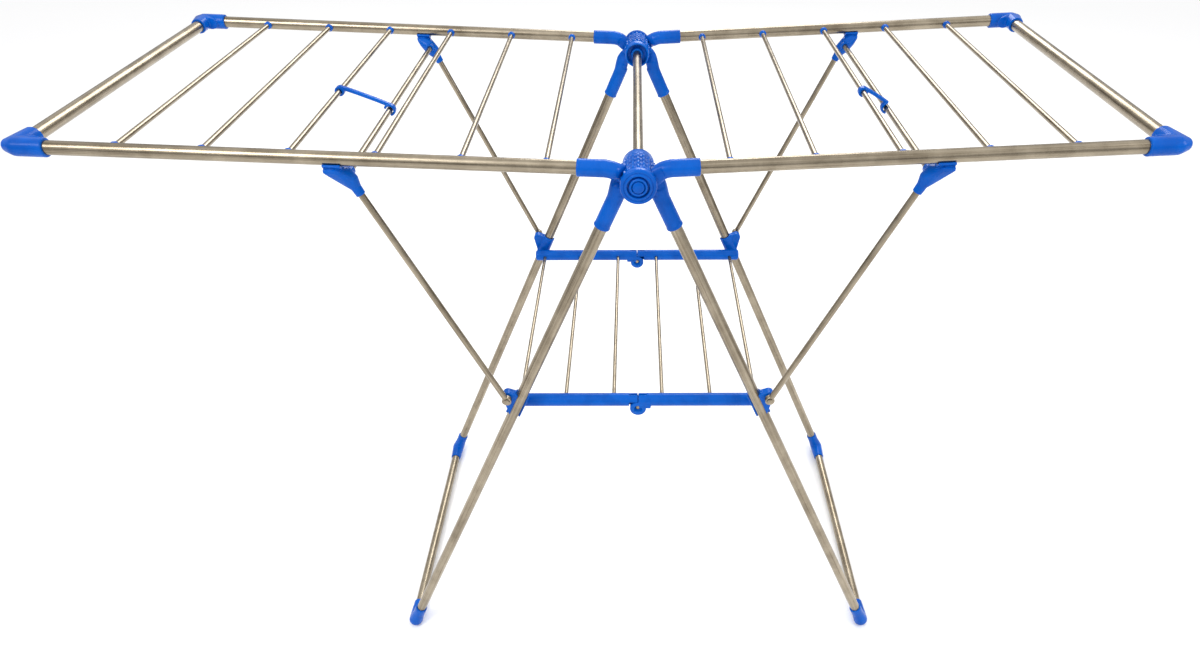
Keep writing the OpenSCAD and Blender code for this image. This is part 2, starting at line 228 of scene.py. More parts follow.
def revolve(profile: Sequence[tuple[float, float]], origin: np.ndarray, axis: np.ndarray,
            sides: int = 64, looped: bool = False, ribs: tuple[int, float] = (0, 0.0)) -> Shell:
    """Turns a profile about an axis.

    A profile point at distance a along the axis and r from it becomes the ring origin plus a times
    the axis plus r times the turning unit vector. Ribs add their height times the positive part of a
    cosine of the angle, raised by a steepness and cut off at one, to the radius of the rim.

    Args:
        profile: distance along the axis and radius of each point.
        origin: a point on the axis.
        axis: the axis' unit direction.
        sides: points on each ring.
        looped: whether the profile is closed, as for a ring with a bore.
        ribs: number of ribs round the rim and their height.

    Returns:
        The closed shell.
    """
    steepness, rim_share, nearly_upright = 1.6, 0.8, 0.9
    outline = np.asarray(profile, float)
    first = unit(np.cross(axis, Z_AXIS if abs(axis[2]) < nearly_upright else X_AXIS))
    second = np.cross(axis, first)
    angle = turns(sides)
    turning = np.cos(angle)[:, None] * first + np.sin(angle)[:, None] * second
    count, height = ribs
    swell = height * np.clip(steepness * np.cos(count * angle), 0, 1) if count else np.zeros(sides)
    rim = outline[:, 1] > rim_share * outline[:, 1].max()
    radius = outline[:, 1][:, None] + rim[:, None] * swell[None, :]
    grid = origin + outline[:, 0][:, None, None] * axis + radius[:, :, None] * turning[None]
    steps = np.linalg.norm(np.diff(outline, axis=0), axis=1)
    length = np.concatenate([[0.0], np.cumsum(steps)])
    unrolled = np.stack(np.meshgrid(length, angle * outline[:, 1].max(), indexing="ij"), axis=-1)
    return grid_shell(grid, unrolled, looped)


def ball(centre: np.ndarray, radius: float, sides: int = ARM_SIDES) -> Shell:
    """Makes a sphere of rings with radius R sin p at height R cos p, from pole to pole.

    Args:
        centre: the sphere's centre.
        radius: its radius.
        sides: points on each ring.

    Returns:
        The closed shell.
    """
    pole_gap = 0.04
    polar = np.linspace(pole_gap, np.pi - pole_gap, sides // 2)
    profile = np.stack([-radius * np.cos(polar), radius * np.sin(polar)], axis=1)
    return revolve(profile, centre, Z_AXIS, sides)


def sleeve(start: np.ndarray, stop: np.ndarray, outer: float, bore: float, sides: int = TUBE_SIDES,
           lip: float = 1.6 * MM) -> Shell:
    """Makes a ring or sleeve with a bore and rounded mouths.

    The profile is a closed loop: out along the bore, round the far mouth by a quarter circle of
    radius lip, back along the outside and round the near mouth.

    Args:
        start: centre of one mouth.
        stop: centre of the other mouth.
        outer: outside radius.
        bore: radius of the hole.
        sides: points on each ring.
        lip: radius of the rounded outer edges.

    Returns:
        The closed shell.
    """
    length = float(np.linalg.norm(stop - start))
    turn = np.linspace(0, np.pi / 2, 5)
    far = np.stack([length - lip + lip * np.cos(turn), outer - lip + lip * np.sin(turn)], axis=1)
    near = np.stack([lip - lip * np.sin(turn), outer - lip + lip * np.cos(turn)], axis=1)
    profile = np.concatenate([[[0.0, bore], [length, bore]], far, near])
    return revolve(profile, start, (stop - start) / length, sides, looped=True)


def hull(points: np.ndarray) -> Shell:
    """Wraps a cloud of points in its convex hull, the smallest convex surface round them.

    Args:
        points: rows of x, y and z.

    Returns:
        The closed shell, in triangles.
    """
    cloud = bpy.data.meshes.new("cloud")
    cloud.from_pydata(points.tolist(), [], [])
    form = bmesh.new()
    form.from_mesh(cloud)
    made = bmesh.ops.convex_hull(form, input=form.verts)
    spare = [item for item in made["geom_interior"] if isinstance(item, bmesh.types.BMVert)]
    bmesh.ops.delete(form, geom=spare, context="VERTS")
    form.to_mesh(cloud)
    form.free()
    shell = shell_of(cloud)
    bpy.data.meshes.remove(cloud)
    return shell


def bezier(points: Sequence[Sequence[float]], steps: int = 24) -> np.ndarray:
    """Bends a smooth path: the Bernstein sum of its control points at equal steps.

    Args:
        points: the control points.
        steps: number of points on the path.

    Returns:
        The path's points.
    """
    control = np.asarray(points, float)
    order = len(control) - 1
    t = np.linspace(0, 1, steps)[:, None]
    weights = [math.comb(order, k) * t**k * (1 - t) ** (order - k) for k in range(order + 1)]
    return sum(weight * point for weight, point in zip(weights, control))


def line(start: Sequence[float], stop: Sequence[float], steps: int = 2) -> np.ndarray:
    """Returns points at equal steps on a straight line."""
    return np.linspace(np.asarray(start, float), np.asarray(stop, float), steps)


# ---------------------------------------------------------------- finishes


@dataclass(frozen=True)
class BrushedSteel:
    """Warm stainless tube: fine lengthwise brushing, broad drawn streaks and faint blotches.

    The brush and streak scales are the pattern's scale along the tube and round it.
    """

    name: str = "brushed_steel"
    light: tuple[float, float, float] = (0.43, 0.37, 0.28)
    dark: tuple[float, float, float] = (0.115, 0.088, 0.056)
    tint_span: tuple[float, float] = (0.36, 0.60)
    roughness: tuple[float, float] = (0.19, 0.36)
    rough_span: tuple[float, float] = (0.35, 0.65)
    brush_scale: tuple[float, float, float] = (9.0, 1700.0, 1.0)
    streak_scale: tuple[float, float, float] = (2.2, 210.0, 1.0)
    brush_share: float = 0.42
    blotch_share: float = 0.25

    def material(self) -> bpy.types.Material:
        """Builds the material; the brushing runs along the first axis of the UV map.

        Returns:
            The material.
        """
        made = bpy.data.materials.new(self.name)
        made.use_nodes = True
        nodes, links = made.node_tree.nodes, made.node_tree.links
        shader = nodes["Principled BSDF"]
        shader.inputs["Metallic"].default_value = 1.0
        place = nodes.new("ShaderNodeTexCoord")
        brush = self.grain(nodes, links, place, self.brush_scale)
        streak = self.grain(nodes, links, place, self.streak_scale)
        blotch = noise_node(nodes, scale=26.0, detail=4.0, rough=0.6)
        links.new(place.outputs["Object"], blotch.inputs["Vector"])
        lines = mix_floats(nodes, links, streak.outputs["Fac"], brush.outputs["Fac"], self.brush_share)
        blend = mix_floats(nodes, links, lines, blotch.outputs["Fac"], self.blotch_share)
        tint = ramp_node(nodes, list(zip(self.tint_span, (self.dark, self.light))))
        links.new(blend, tint.inputs["Fac"])
        links.new(tint.outputs["Color"], shader.inputs["Base Color"])
        rough = range_node(nodes, self.rough_span, self.roughness)
        links.new(blend, rough.inputs["Value"])
        links.new(rough.outputs["Result"], shader.inputs["Roughness"])
        add_bump(made, brush.outputs["Fac"], strength=0.15, distance=0.12 * MM)
        return made

    def grain(self, nodes: Any, links: Any, place: bpy.types.Node,
              scale: tuple[float, float, float]) -> bpy.types.Node:
        """Adds a noise that is stretched along the tube.

        Args:
            nodes: the material's nodes.
            links: the material's links.
            place: its texture coordinate node.
            scale: the pattern's scale along the tube and round it.

        Returns:
            The noise node.
        """
        stretch = nodes.new("ShaderNodeMapping")
        stretch.inputs["Scale"].default_value = scale
        links.new(place.outputs["UV"], stretch.inputs["Vector"])
        grain = noise_node(nodes, scale=1.0, detail=3.0, rough=0.65)
        links.new(stretch.outputs["Vector"], grain.inputs["Vector"])
        return grain


@dataclass(frozen=True)
class MouldedPlastic:
    """Glossy moulded plastic: orange-peel skin, soft sink marks, scuffs and paler worn edges."""

    name: str = "moulded_blue"
    colour: tuple[float, float, float] = (0.001, 0.098, 0.49)
    shade: tuple[float, float, float] = (0.0005, 0.072, 0.39)
    worn: tuple[float, float, float] = (0.006, 0.15, 0.60)
    cloud_span: tuple[float, float] = (0.34, 0.58)
    edge_span: tuple[float, float] = (0.53, 0.62)
    most_wear: float = 0.5
    roughness: tuple[float, float] = (0.16, 0.32)
    scuff_span: tuple[float, float] = (0.35, 0.7)
    sink_share: float = 0.75
    ior: float = 1.49
    specular: float = 0.11
    coat: float = 0.06
    coat_roughness: float = 0.05

    def material(self) -> bpy.types.Material:
        """Builds the material on Object coordinates.

        Returns:
            The material.
        """
        made = bpy.data.materials.new(self.name)
        made.use_nodes = True
        nodes, links = made.node_tree.nodes, made.node_tree.links
        shader = nodes["Principled BSDF"]
        shader.inputs["IOR"].default_value = self.ior
        shader.inputs["Specular IOR Level"].default_value = self.specular
        shader.inputs["Coat Weight"].default_value = self.coat
        shader.inputs["Coat Roughness"].default_value = self.coat_roughness
        place = nodes.new("ShaderNodeTexCoord")
        cloud = noise_node(nodes, scale=30.0, detail=5.0, rough=0.55)
        peel = noise_node(nodes, scale=900.0, detail=2.0, rough=0.5)
        scuff = noise_node(nodes, scale=160.0, detail=6.0, rough=0.75)
        for texture in (cloud, peel, scuff):
            links.new(place.outputs["Object"], texture.inputs["Vector"])
        base = ramp_node(nodes, list(zip(self.cloud_span, (self.shade, self.colour))))
        links.new(cloud.outputs["Fac"], base.inputs["Fac"])
        bends = nodes.new("ShaderNodeNewGeometry")
        edge = range_node(nodes, self.edge_span, (0.0, self.most_wear))
        links.new(bends.outputs["Pointiness"], edge.inputs["Value"])
        wear = nodes.new("ShaderNodeMix")
        wear.data_type = "RGBA"
        links.new(edge.outputs["Result"], wear.inputs["Factor"])
        links.new(base.outputs["Color"], wear.inputs[6])
        wear.inputs[7].default_value = (*self.worn, 1.0)
        links.new(wear.outputs[2], shader.inputs["Base Color"])
        rough = range_node(nodes, self.scuff_span, self.roughness)
        links.new(scuff.outputs["Fac"], rough.inputs["Value"])
        links.new(rough.outputs["Result"], shader.inputs["Roughness"])
        height = mix_floats(nodes, links, peel.outputs["Fac"], cloud.outputs["Fac"], self.sink_share)
        add_bump(made, height, strength=0.2, distance=0.5 * MM)
        return made


@dataclass(frozen=True)
class PaleFloor:
    """A plain matt studio floor."""

    name: str = "pale_floor"
    colour: tuple[float, float, float] = (0.93, 0.93, 0.935)
    roughness: float = 0.9
    specular: float = 0.1

    def material(self) -> bpy.types.Material:
        """Builds the floor's material.

        Returns:
            The material.
        """
        made = bpy.data.materials.new(self.name)
        made.use_nodes = True
        shader = made.node_tree.nodes["Principled BSDF"]
        shader.inputs["Base Color"].default_value = (*self.colour, 1.0)
        shader.inputs["Roughness"].default_value = self.roughness
        shader.inputs["Specular IOR Level"].default_value = self.specular
        return made


def noise_node(nodes: Any, scale: float, detail: float, rough: float) -> bpy.types.Node:
    """Adds a noise texture node.

    Args:
        nodes: the material's nodes.
        scale: size of the pattern, larger for finer.
        detail: octaves.
        rough: strength of the finer octaves.

    Returns:
        The node.
    """
    node = nodes.new("ShaderNodeTexNoise")
    node.inputs["Scale"].default_value = scale
    node.inputs["Detail"].default_value = detail
    node.inputs["Roughness"].default_value = rough
    return node


def ramp_node(nodes: Any, stops: list[tuple[float, tuple[float, float, float]]]) -> bpy.types.Node:
    """Adds a colour ramp.

    Args:
        nodes: the material's nodes.
        stops: position and colour of its two stops.

    Returns:
        The node.
    """
    node = nodes.new("ShaderNodeValToRGB")
    for element, (position, colour) in zip(node.color_ramp.elements, stops):
        element.position = position
        element.color = (*colour, 1.0)
    return node


def range_node(nodes: Any, source: tuple[float, float], target: tuple[float, float]) -> bpy.types.Node:
    """Adds a clamped node that maps one span of values to another.

    Args:
        nodes: the material's nodes.
        source: the span that comes in.
        target: the span that goes out.

    Returns:
        The node.
    """
    node = nodes.new("ShaderNodeMapRange")
    node.inputs["From Min"].default_value, node.inputs["From Max"].default_value = source
    node.inputs["To Min"].default_value, node.inputs["To Max"].default_value = target
    return node


def mix_floats(nodes: Any, links: Any, first: Any, second: Any, share: float) -> Any:
    """Mixes two number sockets.

    Args:
        nodes: the material's nodes.
        links: the material's links.
        first: the first socket.
        second: the second socket.
        share: the second socket's share.

    Returns:
        The mix's output socket.
    """
    node = nodes.new("ShaderNodeMix")
    node.data_type = "FLOAT"
    node.inputs["Factor"].default_value = share
    links.new(first, node.inputs[2])
    links.new(second, node.inputs[3])
    return node.outputs[0]


def add_bump(material: bpy.types.Material, height: Any, strength: float, distance: float) -> None:
    """Bumps a material's shader.

    Args:
        material: the material to change.
        height: output socket that holds the height.
        strength: how much of the bump shows.
        distance: height of the bump in metres.
    """
    nodes, links = material.node_tree.nodes, material.node_tree.links
    bump = nodes.new("ShaderNodeBump")
    bump.inputs["Strength"].default_value = strength
    bump.inputs["Distance"].default_value = distance
    links.new(height, bump.inputs["Height"])
    links.new(bump.outputs["Normal"], nodes["Principled BSDF"].inputs["Normal"])


# ---------------------------------------------------------------- workshop


@dataclass
class Workshop:
    """Turns shells into finished pieces and hangs them on the frame."""

    frame: dict[str, Any]
    finishes: dict[Slot, bpy.types.Material] = field(default_factory=dict)
    made: int = 0

    def __post_init__(self) -> None:
        """Builds the two finishes that every piece takes."""
        self.finishes[Slot.STEEL] = BrushedSteel().material()
        self.finishes[Slot.PLASTIC] = MouldedPlastic().material()

    def piece(self, name: str, shells: Sequence[Shell], auto_smooth: float = 35.0) -> bpy.types.Object:
        """Joins shells into one object with outward faces and a UV map of their unrolled surface.

        Args:
            name: the object's name.
            shells: the closed surfaces.
            auto_smooth: faces that meet at less than this angle in degrees are shaded smooth.

        Returns:
            The object, in the scene.
        """
        starts = np.cumsum([0] + [len(shell.points) for shell in shells[:-1]])
        points = np.concatenate([shell.points for shell in shells])
        corners = np.concatenate([shell.corners + start for shell, start in zip(shells, starts)])
        sizes = np.concatenate([shell.sizes for shell in shells])
        unrolled = np.concatenate([shell.unrolled for shell in shells])
        mesh = bpy.data.meshes.new(name)
        mesh.vertices.add(len(points))
        mesh.vertices.foreach_set("co", points.ravel())
        mesh.loops.add(len(corners))
        mesh.loops.foreach_set("vertex_index", corners)
        mesh.polygons.add(len(sizes))
        mesh.polygons.foreach_set("loop_start", np.cumsum(sizes) - sizes)
        mesh.update(calc_edges=True)
        form = bmesh.new()
        form.from_mesh(mesh)
        bmesh.ops.recalc_face_normals(form, faces=form.faces)
        form.to_mesh(mesh)
        form.free()
        mesh.update()
        turned = shell_of(mesh).corners
        mesh.uv_layers.new(name="unrolled").data.foreach_set("uv", unrolled[turned].ravel())
        mesh.shade_smooth()
        mesh.set_sharp_from_angle(angle=math.radians(auto_smooth))
        made = bpy.data.objects.new(name, mesh)
        bpy.context.scene.collection.objects.link(made)
        return made

    def casting(self, name: str, shells: Sequence[Shell], voxel: float = 1.0 * MM, soften: int = 5,
                crisp: Sequence[Shell] = ()) -> bpy.types.Object:
        """Melts shells into one moulded body with filleted joins.

        The shells are united on a voxel grid and the result is relaxed towards the mean of its
        neighbours a few times, which rounds each edge and fillets each join.

        Args:
            name: the object's name.
            shells: overlapping closed surfaces.
            voxel: size of the grid.
            soften: number of relaxing passes.
            crisp: surfaces that are added after the melting, so that they keep their edges.

        Returns:
            The finished object.
        """
        blank = self.piece(name + "_blank", shells)
        remesh = blank.modifiers.new("melt", "REMESH")
        remesh.mode, remesh.voxel_size = "VOXEL", voxel
        relax = blank.modifiers.new("relax", "SMOOTH")
        relax.factor, relax.iterations = 0.5, soften
        graph = bpy.context.evaluated_depsgraph_get()
        melted = bpy.data.meshes.new_from_object(blank.evaluated_get(graph))
        raw = blank.data
        bpy.data.objects.remove(blank)
        bpy.data.meshes.remove(raw)
        body = shell_of(melted)
        bpy.data.meshes.remove(melted)
        return self.piece(name, [body, *crisp], auto_smooth=50.0)

    def hang(self, made: bpy.types.Object, node: str, slot: Slot) -> None:
        """Gives a piece its finish, puts it on its node's body and hides the node.

        Args:
            made: the finished piece.
            node: the frame's node that it stands for.
            slot: the record's material slot.
        """
        made.data.materials.clear()
        made.data.materials.append(self.finishes[slot])
        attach(made, self.body_of(node))
        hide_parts(node)
        self.made += 1
        LOG.info("%s: %d faces, on %s", made.name, len(made.data.polygons), self.body_of(node))

    def body_of(self, node: str) -> str:
        """Returns the name of the body that holds a node."""
        bodies = self.frame["record"]["behaviour"]["bodies"]
        return next(body for body, nodes in bodies.items() if node in nodes)


@dataclass(frozen=True)
class Plane:
    """A flat working frame of one limb: its own x and z in the rack's XZ plane, y along the rack's Y."""

    origin: np.ndarray
    along: np.ndarray
    rise: np.ndarray

    def at(self, x: float, y: float, z: float) -> np.ndarray:
        """Returns one point of the plane, in the rack's axes; y is measured in the rack's frame."""
        return self.origin + x * self.along + y * Y_AXIS + z * self.rise

    def path(self, points: np.ndarray) -> np.ndarray:
        """Returns many points, given as rows of x, y and z, in the rack's axes."""
        rows = np.asarray(points, float)
        return self.origin + rows[:, :1] * self.along + rows[:, 1:2] * Y_AXIS + rows[:, 2:] * self.rise


@dataclass(frozen=True)
class Plan:
    """Driving sizes of the rack in metres and degrees, with the frame's own places."""

    hub_h: float
    rail_y: float
    leg_y: float
    tube_r: float
    axle_r: float
    left_len: float
    right_len: float
    foot_x: float
    pivot: tuple[float, float]
    shelf_pivot: tuple[float, float]
    hinge_z: float
    leg_angle: float = 24.5
    wing_angle: float = 2.5
    leg_offset: float = 14 * MM
    wing_offset: float = 15 * MM
    first_rod: float = 125 * MM
    rod_pitch: float = 115 * MM
    rod_r: float = 4 * MM
    ring_r: float = 23 * MM
    ring_gap: float = 0.3 * MM
    rib_count: int = 20
    rib_h: float = 1.8 * MM
    socket_r: float = 12 * MM
    leg_mouth: float = 98 * MM
    wing_mouth: float = 84 * MM
    head_x: float = 408 * MM
    prop_y: float = 291 * MM
    prop_r: float = 5 * MM
    cross_drop: float = 30 * MM
    cross_r: float = 4.5 * MM
    foot_h: float = 13 * MM

    @staticmethod
    def from_frame(frame: dict[str, Any]) -> Plan:
        """Reads the sizes that the frame holds.


        Returns:
            The plan.
        """
        axle_lo, axle_hi = (np.array(c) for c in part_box("axle_tube"))
        rail_lo, rail_hi = (np.array(c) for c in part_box("right_rear_rail"))
        leg_lo, leg_hi = (np.array(c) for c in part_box("right_rear_leg"))
        floor_lo, floor_hi = (np.array(c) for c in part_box("right_floor_tube"))
        joints = {joint["name"]: joint for joint in frame["record"]["behaviour"]["joints"]}
        tilt = math.radians(Plan.wing_angle)
        ends = {}
        for side in Side:
            low, high = (np.array(c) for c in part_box(f"{side.word}_end_tube"))
            middle_x = abs((low + high)[0]) / 2
            ends[side] = (middle_x + Plan.wing_offset * math.sin(tilt)) / math.cos(tilt)
        prop = joints["right_prop_fold"]["pos_m"]
        shelf = joints["left_shelf_fold"]["pos_m"]
        return Plan(
            hub_h=float((axle_lo + axle_hi)[2] / 2),
            rail_y=float((rail_lo + rail_hi)[1] / 2),
            leg_y=float((leg_lo + leg_hi)[1] / 2),
            tube_r=float((rail_hi - rail_lo)[1] / 2),
            axle_r=float((axle_hi - axle_lo)[2] / 2),
            left_len=float(ends[Side.LEFT]),
            right_len=float(ends[Side.RIGHT]),
            foot_x=float((floor_lo + floor_hi)[0] / 2),
            pivot=(prop[0], prop[2]),
            shelf_pivot=(-shelf[0], shelf[2]),
            hinge_z=joints["shelf_centre_fold"]["pos_m"][2],
        )

    def limb_plane(self, side: Side, degrees: float) -> Plane:
        """Lays a working plane through the hub axis.

        Args:
            side: which half of the rack.
            degrees: how far its x points up from level, and its z in from upright.

        Returns:
            The plane, with x outboard.
        """
        angle = math.radians(degrees)
        out = np.array([side.value * math.cos(angle), 0, math.sin(angle)])
        up = np.array([-side.value * math.sin(angle), 0, math.cos(angle)])
        return Plane(np.array([0, 0, self.hub_h]), out, up)

    def leg_plane(self, side: Side) -> Plane:
        """The leg's frame: x outboard and z up the leg, from the hub axis."""
        return self.limb_plane(side, self.leg_angle)

    def wing_plane(self, side: Side) -> Plane:
        """The wing's frame: x along the rail and z up, from the hub axis."""
        return self.limb_plane(side, self.wing_angle)

    def wing_len(self, side: Side) -> float:
        """Distance of the wing's end tube from the hub axis, along the wing."""
        return self.left_len if side is Side.LEFT else self.right_len

    def ring_start(self, side: Side, end: End, y: float) -> float:
        """Places a hub ring along Y: the two sides' rings share the depth of one socket.

        Args:
            side: whose ring.
            end: which hub.
            y: the middle of the socket.

        Returns:
            The Y where the ring starts.
        """
        outer = (side is Side.LEFT) == (end is End.FRONT)
        return y + (self.ring_gap if outer else self.ring_gap - self.socket_r)

    def head_point(self, side: Side) -> np.ndarray:
        """Finds the point on the rail's centre line that the prop aims at.

        Args:
            side: which half of the rack.

        Returns:
            The point, at Y zero.
        """
        tilt = math.radians(self.wing_angle)
        along = (self.head_x + self.wing_offset * math.sin(tilt)) / math.cos(tilt)
        return self.wing_plane(side).at(along, 0, self.wing_offset)

    def prop_plane(self, side: Side) -> tuple[Plane, float]:
        """Lays the prop's plane, with z up the prop from its pivot and x outboard.

        Args:
            side: which half of the rack.

        Returns:
            The plane, and the length from the pivot to the rail's centre line.
        """
        pivot = np.array([side.value * self.pivot[0], 0, self.pivot[1]])
        reach = self.head_point(side) - pivot
        length = float(np.linalg.norm(reach))
        up = reach / length
        out = np.array([side.value * up[2], 0, -side.value * up[0]])
        return Plane(pivot, out, up), length


# ---------------------------------------------------------------- sub-assemblies


@dataclass
class Hub:
    """The cross tube with its two stepped caps and two inner collars.

    The face steps are the cap's turned outline in millimetres: height over the rim and radius. They
    make a raised ring, a groove and the ring round the domed boss.
    """

    plan: Plan
    cap_r: float = 25 * MM
    cap_t: float = 11 * MM
    rim_r: float = 2.6 * MM
    collar_r: float = 22.5 * MM
    face_steps: tuple[tuple[float, float], ...] = (
        (0.0, 20.6), (-0.7, 20.2), (-0.7, 19.4), (0.0, 19.0), (0.5, 18.4), (0.9, 16.6),
        (0.5, 15.7), (-3.6, 15.2), (-4.4, 14.6), (-4.4, 13.2), (-3.8, 12.8), (0.8, 12.4),
        (1.3, 11.8), (1.3, 10.0), (0.8, 9.4), (-0.9, 9.1), (-1.2, 8.7), (-0.9, 8.3),
        (1.4, 8.0), (2.2, 7.4), (2.7, 6.0),
    )

    def build(self, shop: Workshop) -> None:
        """Builds the hub's three pieces.

        Args:
            shop: the workshop that finishes and hangs them.
        """
        plan = self.plan
        middle = np.array([0, 0, plan.hub_h])
        face = plan.rail_y + plan.socket_r + plan.ring_gap
        tube = sweep(line(middle - face * Y_AXIS, middle + face * Y_AXIS, 9), plan.axle_r,
                     TUBE_SIDES, up=Z_AXIS)
        shop.hang(shop.piece("cross_tube", [tube]), "axle_tube", Slot.STEEL)
        caps = [self.cap(middle + end.value * face * Y_AXIS, end.value * Y_AXIS) for end in End]
        shop.hang(shop.piece("stepped_caps", caps, 28.0), "hub_caps", Slot.PLASTIC)
        collar_face = plan.leg_y - plan.socket_r - plan.ring_gap
        collars = [self.collar(middle + end.value * collar_face * Y_AXIS, -end.value * Y_AXIS)
                   for end in End]
        shop.hang(shop.piece("collars", collars), "inner_collars", Slot.PLASTIC)

    def cap(self, origin: np.ndarray, axis: np.ndarray) -> Shell:
        """Turns a cap: a rounded flange, a raised ring, a groove and a domed boss.

        Args:
            origin: the middle of its back face.
            axis: the direction that it faces.

        Returns:
            The closed shell.
        """
        t, rim_r = self.cap_t, self.rim_r
        rim = [(t - rim_r + rim_r * math.sin(a), self.cap_r - rim_r + rim_r * math.cos(a))
               for a in np.linspace(0, np.pi / 2, 6)]
        dome = [(2.9 + 0.5 * math.sin(a), 5.0 * math.cos(a)) for a in np.linspace(0.1, 1.45, 5)]
        face = [(t + a * MM, r * MM) for a, r in [*self.face_steps, *dome]]
        back = [(0.0, 0.5 * MM), (0.0, self.cap_r - 3.0 * MM), (2.2 * MM, self.cap_r - 2.4 * MM),
                (2.8 * MM, self.cap_r)]
        return revolve([*back, *rim, *face], origin, axis, 96)

    def collar(self, origin: np.ndarray, axis: np.ndarray) -> Shell:
        """Turns a collar: a deep cup that opens inwards, with a neck on the cross tube.

        Args:
            origin: the middle of its closed face.
            axis: the direction that it opens in.

        Returns:
            The closed shell.
        """
        bore, rim = self.plan.axle_r + 0.05 * MM, self.collar_r
        back = [(0.3 * MM, bore), (0.3 * MM, rim - 1.2 * MM), (1.2 * MM, rim)]
        mouth = [(15 * MM, rim), (16.6 * MM, rim - 0.8 * MM), (17.2 * MM, rim - 2 * MM),
                 (16.4 * MM, rim - 3.2 * MM)]
        floor = [(6 * MM, rim - 4.2 * MM), (4.6 * MM, rim - 6 * MM), (4.6 * MM, bore + 4.2 * MM)]
        neck = [(5.6 * MM, bore + 3.2 * MM), (12.6 * MM, bore + 2.6 * MM),
                (13.6 * MM, bore + 1.6 * MM), (13.6 * MM, bore)]
        return revolve([*back, *mouth, *floor, *neck], origin, axis, 72, looped=True)


def hub_ring(plan: Plan, y0: float) -> Shell:
    """Turns a hub ring with a bore on the cross tube and ribs along its rim.

    Args:
        plan: the rack's sizes.
        y0: where the ring starts along Y.

    Returns:
        The closed shell.
    """
    depth = plan.socket_r - 2 * plan.ring_gap
    bore, rim, bevel = plan.axle_r + 0.08 * MM, plan.ring_r, 0.3 * MM
    profile = [(0.0, bore), (0.0, rim - bevel), (bevel, rim), (depth - bevel, rim),
               (depth, rim - bevel), (depth, bore)]
    origin = np.array([0, y0, plan.hub_h])
    return revolve(profile, origin, Y_AXIS, 280, looped=True, ribs=(plan.rib_count, plan.rib_h))


def hub_core(plan: Plan, y0: float) -> Shell:
    """Makes the plain ring that a casting's arm melts into, a little inside the ribbed rim.

    Args:
        plan: the rack's sizes.
        y0: where the ribbed ring starts along Y.

    Returns:
        The closed shell.
    """
    depth = plan.socket_r - 2 * plan.ring_gap
    start = np.array([0, y0 + 0.4 * MM, plan.hub_h])
    return sleeve(start, start + (depth - 0.8 * MM) * Y_AXIS, plan.ring_r - 0.8 * MM,
                  plan.axle_r + 0.3 * MM, 64)


def hub_arm(plane: Plane, bends: Sequence[tuple[float, float]], ring_y: float, tube_y: float,
            girth: tuple[float, float, float]) -> Shell:
    """Bends an arm out of a hub ring towards its tube.

    The arm is as flat as the ring until it is clear of it. Over the next stretch it moves from the
    ring's middle to the tube's and rounds out. Its radius is the root plus the growth times the
    share of the path, times the rate, up to one.

    Args:
        plane: the limb's working plane.
        bends: x and z of the path's control points.
        ring_y: the middle of the ring along Y.
        tube_y: the middle of the tube along Y.
        girth: root radius and growth in millimetres, and the growth's rate.

    Returns:
        The closed shell.
    """
    steps, half_flat, clear, stretch = 26, 5.2 * MM, 25 * MM, 9 * MM
    run = bezier([(x, ring_y, z) for x, z in bends], steps)
    spread = np.clip((np.hypot(run[:, 0], run[:, 2]) - clear) / stretch, 0, 1)
    run[:, 1] = ring_y + (tube_y - ring_y) * spread
    root, growth, rate = girth
    radii = (root + growth * np.clip(rate * np.linspace(0, 1, steps), 0, 1)) * MM
    squash = (half_flat + (radii - half_flat) * spread) / radii
    return sweep(plane.path(run), radii, ARM_SIDES, squash=squash)


